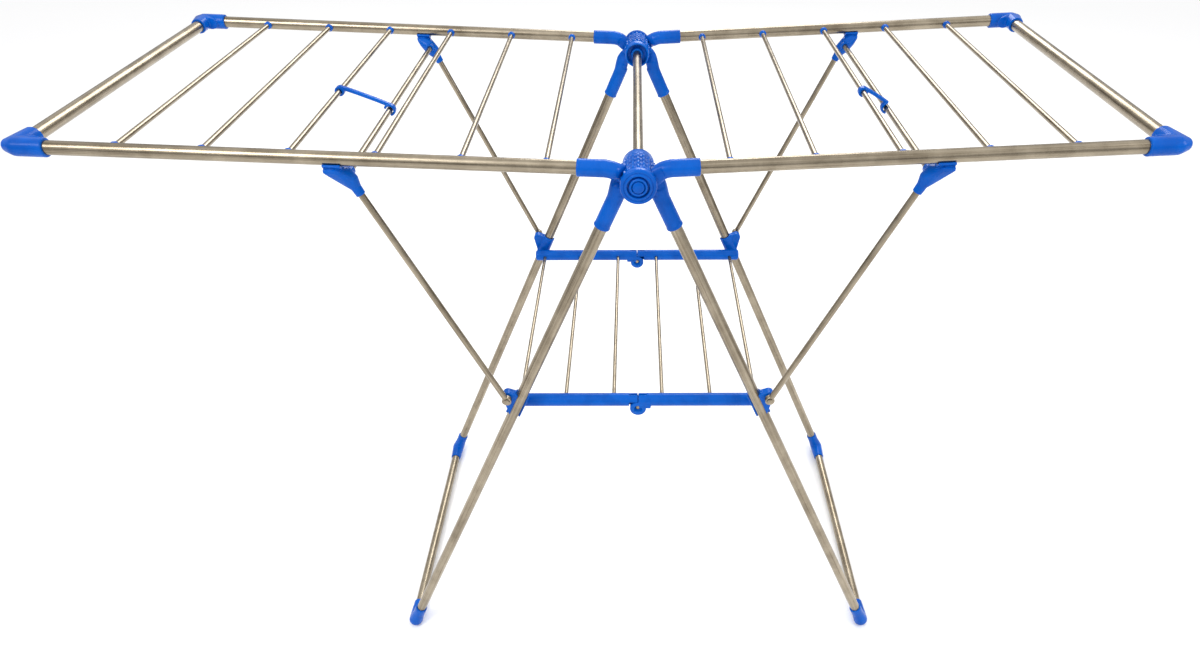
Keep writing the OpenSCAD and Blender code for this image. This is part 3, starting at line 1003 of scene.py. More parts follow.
@dataclass
class LegFrame:
    """One leg frame: two legs, a floor tube, hub sockets, feet, brackets and pivot pins."""

    plan: Plan
    side: Side
    tube_top: float = 42 * MM
    socket_top: float = 38 * MM
    heel_gap: float = 13 * MM
    floor_gap: float = 11 * MM
    lip_depth: float = 5 * MM
    arm_girth: tuple[float, float, float] = (9.5, 2.4, 2.2)
    foot_up: float = 46 * MM
    foot_in: float = 44 * MM
    foot_waist: float = 26 * MM
    foot_rim: float = 11.9 * MM
    foot_r: float = 12.2 * MM
    heel_r: float = 14.6 * MM
    saddle_r: float = 13 * MM
    saddle_span: tuple[float, float] = (8.0, -188.0)
    bracket_reach: tuple[float, float] = (441 * MM, 491 * MM)
    ear_half: float = 8 * MM
    ear_r: float = 8.6 * MM
    prop_out: float = 22 * MM
    prop_along: float = 452 * MM
    pin_r: float = 3 * MM
    shelf_pin_r: float = 4 * MM
    shelf_pin_y: float = 244 * MM

    def build(self, shop: Workshop) -> None:
        """Builds the leg frame's ten pieces.

        Args:
            shop: the workshop that finishes and hangs them.
        """
        plan, word = self.plan, self.side.word
        for end in End:
            self.leg(shop, end)
            self.socket(shop, end)
            self.foot(shop, end)
            self.bracket(shop, end)
        centre = np.array([self.side.value * plan.foot_x, 0, plan.foot_h])
        reach = (plan.leg_y - self.floor_gap) * Y_AXIS
        tube = sweep(line(centre - reach, centre + reach, 9), plan.tube_r, TUBE_SIDES, up=Z_AXIS)
        shop.hang(shop.piece(f"{word}_floor_bar", [tube]), f"{word}_floor_tube", Slot.STEEL)
        shop.hang(shop.piece(f"{word}_pins", self.pins(), 30.0), f"{word}_pivot_pins", Slot.STEEL)

    def leg(self, shop: Workshop, end: End) -> None:
        """Builds one straight leg tube, from inside the foot to inside the hub socket.

        Args:
            shop: the workshop.
            end: which end of the rack.
        """
        plan, plane = self.plan, self.plan.leg_plane(self.side)
        drop = plan.hub_h - plan.foot_h + plan.leg_offset * plane.along[2]
        low = drop / plane.rise[2] - self.heel_gap
        y = end.value * plan.leg_y
        path = line(plane.at(plan.leg_offset, y, -low), plane.at(plan.leg_offset, y, -self.tube_top), 17)
        name = f"{self.side.word}_{end.word}_leg"
        made = shop.piece(name + "_tube", [sweep(path, plan.tube_r, TUBE_SIDES)])
        shop.hang(made, name, Slot.STEEL)

    def socket(self, shop: Workshop, end: End) -> None:
        """Builds a leg socket: a ring, a bent arm with a rounded shoulder and a sleeve with a lip.

        Args:
            shop: the workshop.
            end: which end of the rack.
        """
        plan, plane = self.plan, self.plan.leg_plane(self.side)
        x, y = plan.leg_offset, end.value * plan.leg_y
        y0 = plan.ring_start(self.side, end, y)
        bends = [(4 * MM, -5 * MM), (25 * MM, -8 * MM), (19 * MM, -27 * MM), (x, -42 * MM),
                 (x, -52 * MM)]
        arm = hub_arm(plane, bends, y0 + plan.socket_r / 2 - plan.ring_gap, y, self.arm_girth)
        mouth = plane.at(x, y, -plan.leg_mouth)
        body = sleeve(plane.at(x, y, -self.socket_top), mouth, plan.socket_r, plan.tube_r)
        lip = sleeve(plane.at(x, y, -plan.leg_mouth + self.lip_depth), mouth,
                     plan.socket_r + 0.6 * MM, plan.tube_r)
        name = f"{self.side.word}_{end.word}_leg_socket"
        made = shop.casting(name + "_casting", [arm, body, lip, hub_core(plan, y0)],
                            crisp=[hub_ring(plan, y0)])
        shop.hang(made, name, Slot.PLASTIC)

    def foot(self, shop: Workshop, end: End) -> None:
        """Builds a foot: two sleeves that meet in a rounded heel with a flat pad.

        Args:
            shop: the workshop.
            end: which end of the rack.
        """
        plan, plane = self.plan, self.plan.leg_plane(self.side)
        heel = np.array([self.side.value * plan.foot_x, end.value * plan.leg_y, plan.foot_h])
        up_leg = heel + self.foot_up * plane.rise
        inward = heel - end.value * self.foot_in * Y_AXIS
        angle = turns(28)[:, None]
        ring = np.cos(angle) * plane.along + np.sin(angle) * Y_AXIS
        leg_rim = up_leg + self.foot_rim * ring
        waist = heel + self.foot_waist * plane.rise + plan.socket_r * ring
        floor_rim = inward + self.foot_rim * (np.cos(angle) * X_AXIS + np.sin(angle) * Z_AXIS)
        sole = ball(heel, self.heel_r).points
        shapes = [hull(np.concatenate([sole, waist])), hull(np.concatenate([sole, floor_rim])),
                  sleeve(heel + 12 * MM * plane.rise, up_leg, self.foot_r, plan.tube_r),
                  hull(np.concatenate([leg_rim, waist]))]
        name = f"{self.side.word}_{end.word}_foot"
        made = shop.casting(name + "_casting", shapes, soften=4)
        flatten_sole(made)
        shop.hang(made, name, Slot.PLASTIC)

    def bracket(self, shop: Workshop, end: End) -> None:
        """Builds a bracket: a saddle on the leg's inner side with a tapered ear for the prop's pivot.

        The saddle is an arc of a tube's wall, carried along the leg.

        Args:
            shop: the workshop.
            end: which end of the rack.
        """
        plan, plane = self.plan, self.plan.leg_plane(self.side)
        x, y = plan.leg_offset, end.value * plan.leg_y
        low, high = self.bracket_reach
        angle = np.linspace(*np.radians(self.saddle_span), 25)
        arc = np.stack([np.cos(angle), np.sin(angle)], axis=1)
        wall = np.concatenate([self.saddle_r * arc, (plan.tube_r * arc)[::-1]])
        stations = np.linspace(-high, -low, 7)
        grid = (plane.at(x, y, 0) + stations[:, None, None] * plane.rise
                + wall[None, :, :1] * plane.along + end.value * wall[None, :, 1:] * Y_AXIS)
        saddle = grid_shell(grid, np.zeros((*grid.shape[:2], 2)))
        boss_x, root_x, trim = x + self.prop_out, x + 6 * MM, 2 * MM
        angle = turns(24)
        rims = []
        for depth in (-self.ear_half + 0.4 * MM, self.ear_half - 0.4 * MM):
            ear = np.stack([boss_x + self.ear_r * np.cos(angle), np.full(24, y + depth),
                            -self.prop_along + self.ear_r * np.sin(angle)], axis=1)
            root = np.array([(root_x, y + depth, -low - trim), (root_x, y + depth, -high + trim)])
            rims += [ear, root]
        web = hull(plane.path(np.concatenate(rims)))
        name = f"{self.side.word}_{end.word}_bracket"
        shop.hang(shop.casting(name + "_casting", [saddle, web]), name, Slot.PLASTIC)

    def pins(self) -> list[Shell]:
        """Turns the prop pins with domed heads, and the left frame's two shelf pins.

        Returns:
            The closed shells.
        """
        plan, r, shells = self.plan, self.pin_r, []
        back = plan.leg_y - self.ear_half + 1 * MM
        head = plan.prop_y + 5.8 * MM - back
        shank = [(0, r - 0.4 * MM), (0.4 * MM, r), (head - 0.6 * MM, r)]
        dome = [(head - 0.6 * MM, 5.1 * MM), (head, 5.5 * MM), (head + 0.8 * MM, 5.2 * MM),
                (head + 1.2 * MM, 4.0 * MM), (head + 1.3 * MM, 1.0 * MM)]
        thick = self.shelf_pin_r
        rod = [(0, thick - 0.6 * MM), (0.6 * MM, thick), (18 * MM, thick), (19 * MM, thick)]
        pivot = np.array([self.side.value * plan.pivot[0], 0, plan.pivot[1]])
        shelf = np.array([-plan.shelf_pivot[0], 0, plan.shelf_pivot[1]])
        for end in End:
            out = end.value * Y_AXIS
            shells.append(revolve([*shank, *dome], pivot + back * out, out, PIN_SIDES))
            if self.side is Side.LEFT:
                shells.append(revolve(rod, shelf + self.shelf_pin_y * out, out, PIN_SIDES))
        return shells


def flatten_sole(made: bpy.types.Object) -> None:
    """Moves the points of a foot that lie below the floor up onto it, as one array.

    Args:
        made: the foot.
    """
    points = shell_of(made.data).points
    points[:, 2] = np.maximum(points[:, 2], 0.0)
    made.data.vertices.foreach_set("co", points.ravel())
    made.data.update()


@dataclass
class Wing:
    """One wing: two rails, an end tube, corners, hub sockets, rods and their bushes."""

    plan: Plan
    side: Side
    rods: int
    tube_start: float = 42 * MM
    rail_gap: float = 12 * MM
    arm_girth: tuple[float, float, float] = (10.4, 1.5, 2.0)
    corner_sleeve: float = 38 * MM
    corner_tip: float = 26 * MM
    corner_r: float = 12.8 * MM
    nose_r: float = 10.2 * MM
    nose_back: float = 14.5 * MM
    web_r: float = 10 * MM
    web_in: float = 16 * MM
    rod_lap: float = 1 * MM
    bush_lap: float = 0.5 * MM

    def build(self, shop: Workshop) -> None:
        """Builds the wing's eight pieces.

        Args:
            shop: the workshop that finishes and hangs them.
        """
        plan, plane, word = self.plan, self.plan.wing_plane(self.side), self.side.word
        length, rise = plan.wing_len(self.side), plan.wing_offset
        for end in End:
            y = end.value * plan.rail_y
            path = line(plane.at(self.tube_start, y, rise), plane.at(length - self.rail_gap, y, rise), 17)
            rail = shop.piece(f"{word}_{end.word}_rail_tube", [sweep(path, plan.tube_r, TUBE_SIDES)])
            shop.hang(rail, f"{word}_{end.word}_rail", Slot.STEEL)
            self.socket(shop, end)
        reach = plan.rail_y - self.rail_gap
        path = line(plane.at(length, -reach, rise), plane.at(length, reach, rise), 13)
        tube = sweep(path, plan.tube_r, TUBE_SIDES, up=plane.rise)
        shop.hang(shop.piece(f"{word}_end_bar", [tube]), f"{word}_end_tube", Slot.STEEL)
        corners = shop.casting(f"{word}_corner_castings", [s for end in End for s in self.corner(end)])
        shop.hang(corners, f"{word}_wing_corners", Slot.PLASTIC)
        shop.hang(shop.piece(f"{word}_rods", self.rod_shells()), f"{word}_wing_rods", Slot.STEEL)
        shop.hang(shop.piece(f"{word}_bushes", self.bush_shells(), 30.0), f"{word}_rod_bushes",
                  Slot.PLASTIC)

    def socket(self, shop: Workshop, end: End) -> None:
        """Builds a wing socket: a ring, an arm in a shallow S and a straight sleeve.

        Args:
            shop: the workshop.
            end: which end of the rack.
        """
        plan, plane = self.plan, self.plan.wing_plane(self.side)
        y, rise = end.value * plan.rail_y, plan.wing_offset
        y0 = plan.ring_start(self.side, end, y)
        mid = y0 + plan.socket_r / 2 - plan.ring_gap
        bends = [(4 * MM, -4 * MM), (20 * MM, -3 * MM), (25 * MM, rise - 1 * MM), (36 * MM, rise),
                 (54 * MM, rise)]
        arm = hub_arm(plane, bends, mid, y, self.arm_girth)
        body = sleeve(plane.at(self.tube_start, y, rise), plane.at(plan.wing_mouth, y, rise),
                      plan.socket_r, plan.tube_r)
        name = f"{self.side.word}_{end.word}_wing_socket"
        made = shop.casting(name + "_casting", [arm, body, hub_core(plan, y0)],
                            crisp=[hub_ring(plan, y0)])
        shop.hang(made, name, Slot.PLASTIC)

    def corner(self, end: End) -> list[Shell]:
        """Shapes a corner: a pointed nose joined to two sleeves, seen as a rounded triangle.

        Each shell is the hull of two or three rims and balls.

        Args:
            end: which end of the rack.

        Returns:
            The overlapping closed shells.
        """
        plan, plane = self.plan, self.plan.wing_plane(self.side)
        length, rise, r = plan.wing_len(self.side), plan.wing_offset, self.corner_r
        y, mouth_in, count = end.value * plan.rail_y, self.corner_sleeve - 1 * MM, 32
        cosine, sine = np.cos(turns(count)), np.sin(turns(count))
        rail_mouth = np.stack([np.full(count, length - mouth_in), y + r * cosine, rise + r * sine],
                              axis=1)
        bar_y = np.full(count, end.value * (plan.rail_y - mouth_in))
        bar_mouth = np.stack([length + r * cosine, bar_y, rise + r * sine], axis=1)
        web_y = np.full(count, end.value * (plan.rail_y - self.web_in))
        web = np.stack([length - self.web_in + self.web_r * cosine, web_y, rise + self.web_r * sine],
                       axis=1)
        heel = ball(np.array([length + 2 * MM, y, rise]), r, 28).points
        nose_x = length + self.corner_tip - self.nose_back
        nose = ball(np.array([nose_x, y - end.value * 2 * MM, rise]), self.nose_r, 28).points
        clouds = ([rail_mouth, heel, nose], [bar_mouth, heel, nose], [web, heel])
        return [hull(plane.path(np.concatenate(cloud))) for cloud in clouds]

    def rod_places(self) -> list[float]:
        """Returns the rods' distances from the hub axis, at equal steps along the wing."""
        return [self.plan.first_rod + i * self.plan.rod_pitch for i in range(self.rods)]

    def rod_shells(self) -> list[Shell]:
        """Carries the wing's rods from rail to rail.

        Returns:
            The closed shells.
        """
        plan, plane = self.plan, self.plan.wing_plane(self.side)
        reach, rise = plan.rail_y - plan.tube_r + self.rod_lap, plan.wing_offset
        return [sweep(line(plane.at(x, -reach, rise), plane.at(x, reach, rise), 13), plan.rod_r,
                      ROD_SIDES, up=plane.rise) for x in self.rod_places()]

    def bush_shells(self) -> list[Shell]:
        """Turns the bushes: a flange against the rail and a tapered collar on the rod.

        Returns:
            The closed shells.
        """
        plan, plane = self.plan, self.plan.wing_plane(self.side)
        reach, bore = plan.rail_y - plan.tube_r + self.bush_lap, plan.rod_r
        flange = [(0, bore), (0, 6.2 * MM), (1.0 * MM, 6.5 * MM), (4.2 * MM, 6.5 * MM),
                  (5.2 * MM, 6.1 * MM)]
        taper = [(5.6 * MM, 5.6 * MM), (7.6 * MM, 5.3 * MM), (8.3 * MM, 4.8 * MM), (8.5 * MM, bore)]
        return [revolve([*flange, *taper], plane.at(x, end.value * reach, plan.wing_offset),
                        -end.value * Y_AXIS, 32, looped=True)
                for x in self.rod_places() for end in End]


@dataclass
class PropFrame:
    """One prop frame: two prop rods, a cross rod and two heads that cup the wing's rails."""

    plan: Plan
    side: Side
    rod_start: float = 6 * MM
    eye_half: float = 4.5 * MM
    eye_r: float = 8 * MM
    eye_bore: float = 3.05 * MM
    cross_gap: float = 7 * MM
    jaw_len: float = 24 * MM
    jaw_span: tuple[float, float] = (-148.0, -32.0)
    jaw_wall: tuple[float, float] = (0.5 * MM, 4.3 * MM)
    pad_reach: tuple[float, float] = (-0.35, 0.96)
    pad_half: float = 11.5 * MM
    neck_r: tuple[float, float] = (6.9, 7.8)

    def build(self, shop: Workshop) -> None:
        """Builds the prop frame's five pieces.

        Args:
            shop: the workshop that finishes and hangs them.
        """
        plan, word = self.plan, self.side.word
        plane, length = plan.prop_plane(self.side)
        top = length - plan.cross_drop
        for end in End:
            y = end.value * plan.prop_y
            rod = sweep(line(plane.at(0, y, self.rod_start), plane.at(0, y, top), 13), plan.prop_r)
            eye = sleeve(plane.at(0, y - self.eye_half, 0), plane.at(0, y + self.eye_half, 0),
                         self.eye_r, self.eye_bore, PIN_SIDES, lip=1.2 * MM)
            made = shop.piece(f"{word}_{end.word}_prop_rod", [rod, eye])
            shop.hang(made, f"{word}_{end.word}_prop", Slot.STEEL)
            self.head(shop, end)
        reach = plan.prop_y - self.cross_gap
        path = line(plane.at(0, -reach, top), plane.at(0, reach, top), 13)
        cross = sweep(path, plan.cross_r, ROD_SIDES, up=plane.rise)
        shop.hang(shop.piece(f"{word}_cross_bar", [cross]), f"{word}_cross_rod", Slot.STEEL)

    def head(self, shop: Workshop, end: End) -> None:
        """Builds a head: a cupped jaw under the rail, a broad body and a narrow neck for the rod.

        The jaw is an arc of a tube's wall, carried along the rail. The body is the hull of the pad
        under the jaw and two oval rings round the prop. Below them it narrows to a third ring.

        Args:
            shop: the workshop.
            end: which end of the rack.
        """
        plan, wing = self.plan, self.plan.wing_plane(self.side)
        plane, length = plan.prop_plane(self.side)
        rail = plan.head_point(self.side) + end.value * plan.rail_y * Y_AXIS
        y, top = end.value * plan.prop_y, length - plan.cross_drop
        inner, outer = (plan.tube_r + wall for wall in self.jaw_wall)
        arc = np.radians(np.linspace(*self.jaw_span, 17))
        bow = np.stack([np.cos(arc), np.sin(arc)], axis=1)
        wall = np.concatenate([inner * bow, (outer * bow)[::-1]])
        stations = np.linspace(-self.jaw_len / 2, self.jaw_len / 2, 5)
        grid = (rail + stations[:, None, None] * wing.along + wall[None, :, :1] * Y_AXIS
                + wall[None, :, 1:] * wing.rise)
        jaw = grid_shell(grid, np.zeros((*grid.shape[:2], 2)))
        pad = [rail + a * self.jaw_len / 2 * wing.along + b * self.pad_half * Y_AXIS
               - (outer + c) * wing.rise for a in self.pad_reach for b in (-1, 1)
               for c in (-1.6 * MM, 3 * MM)]
        angle = turns(28)

        def oval(across: float, deep: float, height: float, out: float) -> np.ndarray:
            """Returns an oval ring round the prop: half its width, half its depth, height and shift."""
            return plane.path(np.stack([out + across * np.cos(angle), y + deep * np.sin(angle),
                                        np.full(len(angle), top + height)], axis=1))

        shoulder = oval(12.8 * MM, 11.0 * MM, 8 * MM, 5 * MM)
        waist = oval(12.6 * MM, 10.6 * MM, -8 * MM, 1.5 * MM)
        hips = oval(7.8 * MM, 7.8 * MM, -19 * MM, 0.0)
        body = hull(np.concatenate([np.array(pad), shoulder, waist]))
        lower = hull(np.concatenate([waist, hips]))
        neck = sweep(line(plane.at(0, y, top - 31.5 * MM), plane.at(0, y, top - 12 * MM), 6),
                     np.linspace(*self.neck_r, 6) * MM, ROD_SIDES)
        cross_end = plane.at(0, y, top)
        side_socket = sleeve(cross_end, cross_end - end.value * 16 * MM * Y_AXIS, 7.5 * MM,
                             plan.cross_r, 32)
        name = f"{self.side.word}_{end.word}_head"
        made = shop.casting(name + "_casting", [jaw, body, lower, neck, side_socket],
                            voxel=0.8 * MM, soften=3)
        shop.hang(made, name, Slot.PLASTIC)


@dataclass
class Link:
    """A link: a ring on a wing rod, a slim bowed arm and a hook round the cross rod."""

    plan: Plan
    side: Side
    rod: int
    y: float = -45 * MM
    width: float = 11 * MM
    loop_r: float = 7.5 * MM
    hook_wall: tuple[float, float] = (1.2 * MM, 5.0 * MM)
    arm_r: float = 2.9 * MM
    arm_start: float = 6.2 * MM
    bow: float = 8.6 * MM
    outboard_mouth: tuple[float, float] = (20.0, 265.0)
    inboard_mouth: tuple[float, float] = (95.0, 265.0)

    def build(self, shop: Workshop) -> None:
        """Builds the link; its hook is an arc round the cross rod that stays open at its mouth.

        Args:
            shop: the workshop that finishes and hangs it.
        """
        plan, wing = self.plan, self.plan.wing_plane(self.side)
        prop, length = plan.prop_plane(self.side)
        ring = wing.at(plan.first_rod + self.rod * plan.rod_pitch, self.y, plan.wing_offset)
        hook = prop.at(0, self.y, length - plan.cross_drop)
        half = self.width / 2 * Y_AXIS
        loop = sleeve(ring - half, ring + half, self.loop_r, plan.rod_r + 0.05 * MM, 40, lip=1 * MM)
        outboard = abs(ring[0]) > abs(hook[0])
        arc = np.radians(np.linspace(*(self.outboard_mouth if outboard else self.inboard_mouth), 40))
        inner, outer = (plan.cross_r + wall for wall in self.hook_wall)
        turn = np.cos(arc)[:, None] * (self.side.value * X_AXIS) + np.sin(arc)[:, None] * Z_AXIS
        middle, thick = (inner + outer) / 2, (outer - inner) / 2
        claw = sweep(hook + middle * turn, thick, 20, squash=self.width / 2 / thick, power=4.0)
        crest = (ring + hook) / 2 + self.bow * Z_AXIS
        arm_path = bezier([ring + self.arm_start * Z_AXIS, crest, hook + middle * Z_AXIS], 16)
        arm = sweep(arm_path, self.arm_r, 20, squash=1.6, power=3.0)
        node = f"{self.side.word}_link"
        made = shop.casting(node + "_casting", [loop, claw, arm], voxel=0.6 * MM, soften=2)
        shop.hang(made, node, Slot.PLASTIC)


@dataclass
class ShelfHalf:
    """Half of the folding shelf: two bars with hinge knuckles, three rods, and the hinge pins."""

    plan: Plan
    side: Side
    bar_y: float = 250 * MM
    bar_r: float = 11.5 * MM
    past: float = 14 * MM
    dome: float = 6 * MM
    dome_drop: float = 3.2 * MM
    knuckle_r: float = 14 * MM
    hinge_gap: float = 0.15 * MM
    lid_z: float = 1.9 * MM
    rod_r: float = 3.5 * MM
    rod_lap: float = 2 * MM
    rivet_r: float = 4 * MM
    rivet_inset: float = 4.4 * MM
    rod_xs: tuple[float, ...] = (42 * MM, 126 * MM, 204 * MM)

    def build(self, shop: Workshop) -> None:
        """Builds the shelf half's pieces.

        Args:
            shop: the workshop that finishes and hangs them.
        """
        word, sign, z = self.side.word, self.side.value, self.plan.shelf_pivot[1]
        for end in End:
            name = f"{word}_{end.word}_shelf_bar"
            made = shop.casting(name + "_moulding", self.bar(end), soften=3, crisp=[self.knuckle(end)])
            shop.hang(made, name, Slot.PLASTIC)
        reach = self.bar_y - self.bar_r + self.rod_lap
        rods = [sweep(line((sign * x, -reach, z), (sign * x, reach, z), 13), self.rod_r, 24, up=Z_AXIS)
                for x in self.rod_xs]
        shop.hang(shop.piece(f"{word}_shelf_bars", rods), f"{word}_shelf_rods", Slot.STEEL)
        if self.side is Side.LEFT:
            shop.hang(shop.piece("hinge_rivets", self.rivets(), 30.0), "shelf_hinge_pins", Slot.STEEL)

    def knuckle_span(self, end: End) -> tuple[float, float]:
        """Places the knuckle along Y. The left half's knuckles are the inner ones.

        Args:
            end: which end of the rack.

        Returns:
            The two ends of its reach from the bar's centre line.
        """
        gap = self.hinge_gap
        near = (-self.bar_r, -gap) if self.side is Side.LEFT else (gap, self.bar_r)
        return near if end is End.REAR else (-near[1], -near[0])

    def bar(self, end: End) -> list[Shell]:
        """Shapes the bar: a round bar with a domed outer end, stepped back round the other knuckle.

        The tongue is the half of the bar's round section on the knuckle's side, and the lid is the top
        of it that closes over the other half. The neck joins the tongue to the knuckle below.

        Args:
            end: which end of the rack.

        Returns:
            The overlapping closed shells.
        """
        plan, sign, r = self.plan, self.side.value, self.bar_r
        y, z = end.value * self.bar_y, plan.shelf_pivot[1]
        outer = plan.shelf_pivot[0] + self.past
        bulge = np.linspace(0.2, 1.5, 7)
        xs = np.concatenate([[15.2 * MM], np.linspace(16, 1000 * outer - 6, 9) * MM,
                             (outer - self.dome) + self.dome * np.sin(bulge)])
        radii = np.concatenate([[r - 0.5 * MM], np.full(9, r), r - self.dome_drop * (1 - np.cos(bulge))])
        path = np.stack([sign * xs, np.full(len(xs), y), np.full(len(xs), z)], axis=1)
        low, high = self.knuckle_span(end)
        middle, half, slack, inset = (low + high) / 2, (high - low) / 2, 0.1 * MM, 0.98
        edge = r * inset * np.stack([np.cos(turns(40)), np.sin(turns(40))], axis=1)
        kept = edge[np.abs(edge[:, 0] - middle) <= half + slack]
        lid = edge[(edge[:, 1] > self.lid_z) & (np.abs(edge[:, 0] + middle) <= half + slack)]
        lid = np.concatenate([lid, [[side * half * inset - middle, self.lid_z] for side in (-1, 1)]])
        drop = plan.hinge_z - z
        neck = np.array([(middle + side * half, drop * share) for side in (-1, 1) for share in (0, 0.9)])

        def block(section: np.ndarray, near: float, far: float) -> Shell:
            """Returns the hull of a section in Y and Z, carried along X from near to far."""
            ends = [np.insert(section + (y, z), 0, sign * x, axis=1) for x in (near, far)]
            return hull(np.concatenate(ends))

        return [sweep(path, radii, 40), block(kept, 0.5 * MM, 24 * MM), block(neck, 2 * MM, 22 * MM),
                block(lid, 0.5 * MM, 18 * MM)]

    def knuckle(self, end: End) -> Shell:
        """Turns the hinge knuckle: a disc with a rounded rim and a conical recess on its outer face.

        Args:
            end: which end of the rack.

        Returns:
            The closed shell.
        """
        low, high = self.knuckle_span(end)
        origin = np.array([0, end.value * self.bar_y + low, self.plan.hinge_z])
        depth, r, soft = high - low, self.knuckle_r, 1.6 * MM
        cone, recess, bore = 7.6 * MM, 5.2 * MM, 4.05 * MM
        profile = np.array([(0, cone), (0, r - soft), (0.5 * MM, r - 0.5 * MM), (soft, r),
                            (depth - soft, r), (depth - 0.5 * MM, r - 0.5 * MM),
                            (depth, r - soft), (depth, bore), (recess, bore)])
        faces_out = (self.side is Side.RIGHT) == (end is End.REAR)
        if faces_out:
            profile[:, 0] = depth - profile[:, 0]
            profile = profile[::-1]
        return revolve(profile, origin, Y_AXIS, looped=True)

    def rivets(self) -> list[Shell]:
        """Turns the two hinge pins: a shank through both knuckles with rounded ends.

        Returns:
            The closed shells.
        """
        r, span = self.rivet_r, 2 * (self.bar_r - self.rivet_inset)
        near = [(0, 1.0 * MM), (0.1 * MM, r - 1.0 * MM), (0.9 * MM, r)]
        far = [(span - a, b) for a, b in reversed(near)]
        start = self.bar_y - self.bar_r + self.rivet_inset
        origin = np.array([0, 0, self.plan.hinge_z])
        return [revolve([*near, *far], origin + start * end.value * Y_AXIS, end.value * Y_AXIS, 40)
                for end in End]


# ---------------------------------------------------------------- studio


@dataclass(frozen=True)
class SoftLight:
    """A square area light: where it stands, the point that it faces, its watts and its side."""

    name: str
    place: tuple[float, float, float]
    aim: tuple[float, float, float]
    power: float
    size: float

    def build(self) -> None:
        """Adds the light to the scene."""
        data = bpy.data.lights.new(self.name, "AREA")
        data.energy, data.size = self.power, self.size
        made = bpy.data.objects.new(self.name, data)
        made.location = self.place
        made.rotation_euler = (Vector(self.aim) - Vector(self.place)).to_track_quat("-Z", "Y").to_euler()
        bpy.context.scene.collection.objects.link(made)


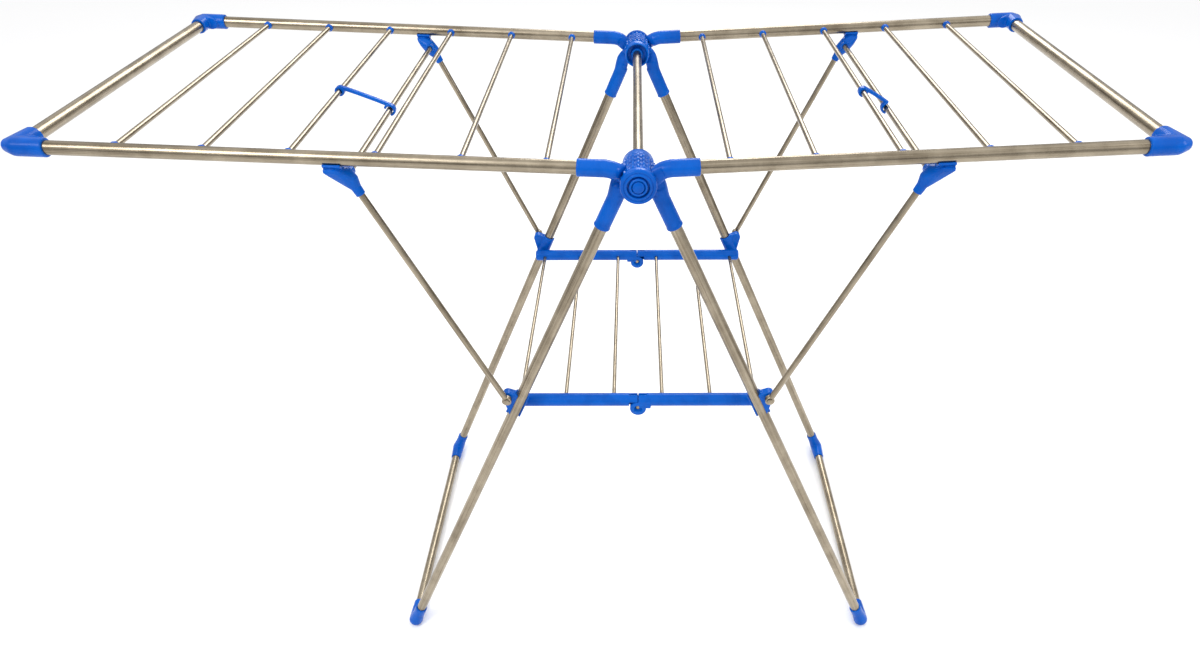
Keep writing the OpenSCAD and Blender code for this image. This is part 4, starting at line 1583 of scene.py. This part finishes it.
@dataclass(frozen=True)
class Studio:
    """The camera, the pale floor and the soft lights."""

    frame_px: tuple[int, int] = (1200, 646)
    focal_px: float = 797.8
    place: tuple[float, float, float] = (-0.0050, -1.3137, 1.5145)
    pitch: float = 0.6842
    yaw: float = -0.0088
    roll: float = 0.0076
    shift_px: tuple[float, float] = (29.66, 64.85)
    sensor: float = 36.0
    far_clip: float = 60.0
    floor_r: float = 18.0
    floor_gap: float = 0.4 * MM
    floor_sides: int = 96
    horizon: tuple[float, float, float] = (0.30, 0.295, 0.29)
    zenith: tuple[float, float, float] = (1.0, 1.0, 1.0)
    sky_span: tuple[float, float] = (0.04, 0.55)
    sky_strength: float = 1.1
    backdrop: tuple[float, float, float] = (0.94, 0.94, 0.945)
    lights: tuple[SoftLight, ...] = (
        SoftLight("key", (-1.9, -2.2, 3.6), (0, 0, 0.8), 62.0, 1.6),
        SoftLight("fill", (2.8, -1.2, 2.4), (0, 0, 0.7), 26.0, 1.2),
        SoftLight("rim", (0.4, 3.0, 3.0), (0, 0, 0.9), 46.0, 1.6),
    )

    def build(self) -> None:
        """Builds the camera, the floor, the lights and the world."""
        self.camera()
        self.floor()
        for light in self.lights:
            light.build()
        self.world()
        bpy.context.scene.view_settings.view_transform = "Standard"

    def camera(self) -> None:
        """Adds the camera; its lens and shift are the focal length and centre over the image width."""
        width = self.frame_px[0]
        data = bpy.data.cameras.new("camera")
        data.sensor_width = self.sensor
        data.lens = self.focal_px / width * data.sensor_width
        data.shift_x = -self.shift_px[0] / width
        data.shift_y = self.shift_px[1] / width
        data.clip_end = self.far_clip
        made = bpy.data.objects.new("camera", data)
        made.location = self.place
        ahead = Vector((math.sin(self.yaw) * math.cos(self.pitch),
                        math.cos(self.yaw) * math.cos(self.pitch), -math.sin(self.pitch)))
        right = Vector((math.cos(self.yaw), -math.sin(self.yaw), 0.0))
        down = ahead.cross(right)
        tilt_right = math.cos(self.roll) * right + math.sin(self.roll) * down
        tilt_down = -math.sin(self.roll) * right + math.cos(self.roll) * down
        basis = np.array([tilt_right[:], (-tilt_down)[:], (-ahead)[:]]).T
        made.rotation_euler = Euler(rotation_angles(basis), "XYZ")
        bpy.context.scene.collection.objects.link(made)
        bpy.context.scene.camera = made

    def world(self) -> None:
        """Lights the sky, with a darker band at the horizon that only reflections show."""
        world = bpy.data.worlds.new("studio")
        world.use_nodes = True
        bpy.context.scene.world = world
        nodes, links = world.node_tree.nodes, world.node_tree.links
        glow = nodes["Background"]
        glow.inputs["Strength"].default_value = self.sky_strength
        place = nodes.new("ShaderNodeTexCoord")
        split = nodes.new("ShaderNodeSeparateXYZ")
        links.new(place.outputs["Generated"], split.inputs["Vector"])
        sky = ramp_node(nodes, list(zip(self.sky_span, (self.horizon, self.zenith))))
        links.new(split.outputs["Z"], sky.inputs["Fac"])
        links.new(sky.outputs["Color"], glow.inputs["Color"])
        pale = nodes.new("ShaderNodeBackground")
        pale.inputs["Color"].default_value = (*self.backdrop, 1.0)
        seen = nodes.new("ShaderNodeLightPath")
        either = nodes.new("ShaderNodeMixShader")
        links.new(seen.outputs["Is Camera Ray"], either.inputs["Fac"])
        links.new(glow.outputs["Background"], either.inputs[1])
        links.new(pale.outputs["Background"], either.inputs[2])
        links.new(either.outputs["Shader"], nodes["World Output"].inputs["Surface"])

    def floor(self) -> None:
        """Adds the floor, a wide flat disc just under the feet."""
        angle = turns(self.floor_sides)
        points = np.stack([self.floor_r * np.cos(angle), self.floor_r * np.sin(angle),
                           np.full(self.floor_sides, -self.floor_gap)], axis=1)
        mesh = bpy.data.meshes.new("floor")
        mesh.from_pydata(points.tolist(), [], [list(range(self.floor_sides))])
        mesh.materials.append(PaleFloor().material())
        made = bpy.data.objects.new("floor", mesh)
        bpy.context.scene.collection.objects.link(made)


def rotation_angles(basis: np.ndarray) -> tuple[float, float, float]:
    """Reads the XYZ Euler angles of a rotation.

    Args:
        basis: the rotation's matrix, three by three.

    Returns:
        The angles about X, Y and Z.
    """
    return (math.atan2(basis[2, 1], basis[2, 2]),
            math.atan2(-basis[2, 0], math.hypot(basis[2, 1], basis[2, 2])),
            math.atan2(basis[1, 0], basis[0, 0]))


def main() -> None:
    """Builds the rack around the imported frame, then the studio."""
    logging.basicConfig(level=logging.INFO, format="%(name)s: %(message)s")
    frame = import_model()
    plan = Plan.from_frame(frame)
    shop = Workshop(frame)
    Hub(plan).build(shop)
    for side in Side:
        LegFrame(plan, side).build(shop)
        Wing(plan, side, rods=6 if side is Side.LEFT else 5).build(shop)
        PropFrame(plan, side).build(shop)
        Link(plan, side, rod=3 if side is Side.LEFT else 2).build(shop)
        ShelfHalf(plan, side).build(shop)
    Studio().build()
    LOG.info("%d pieces", shop.made)


if __name__ == "__main__":
    main()
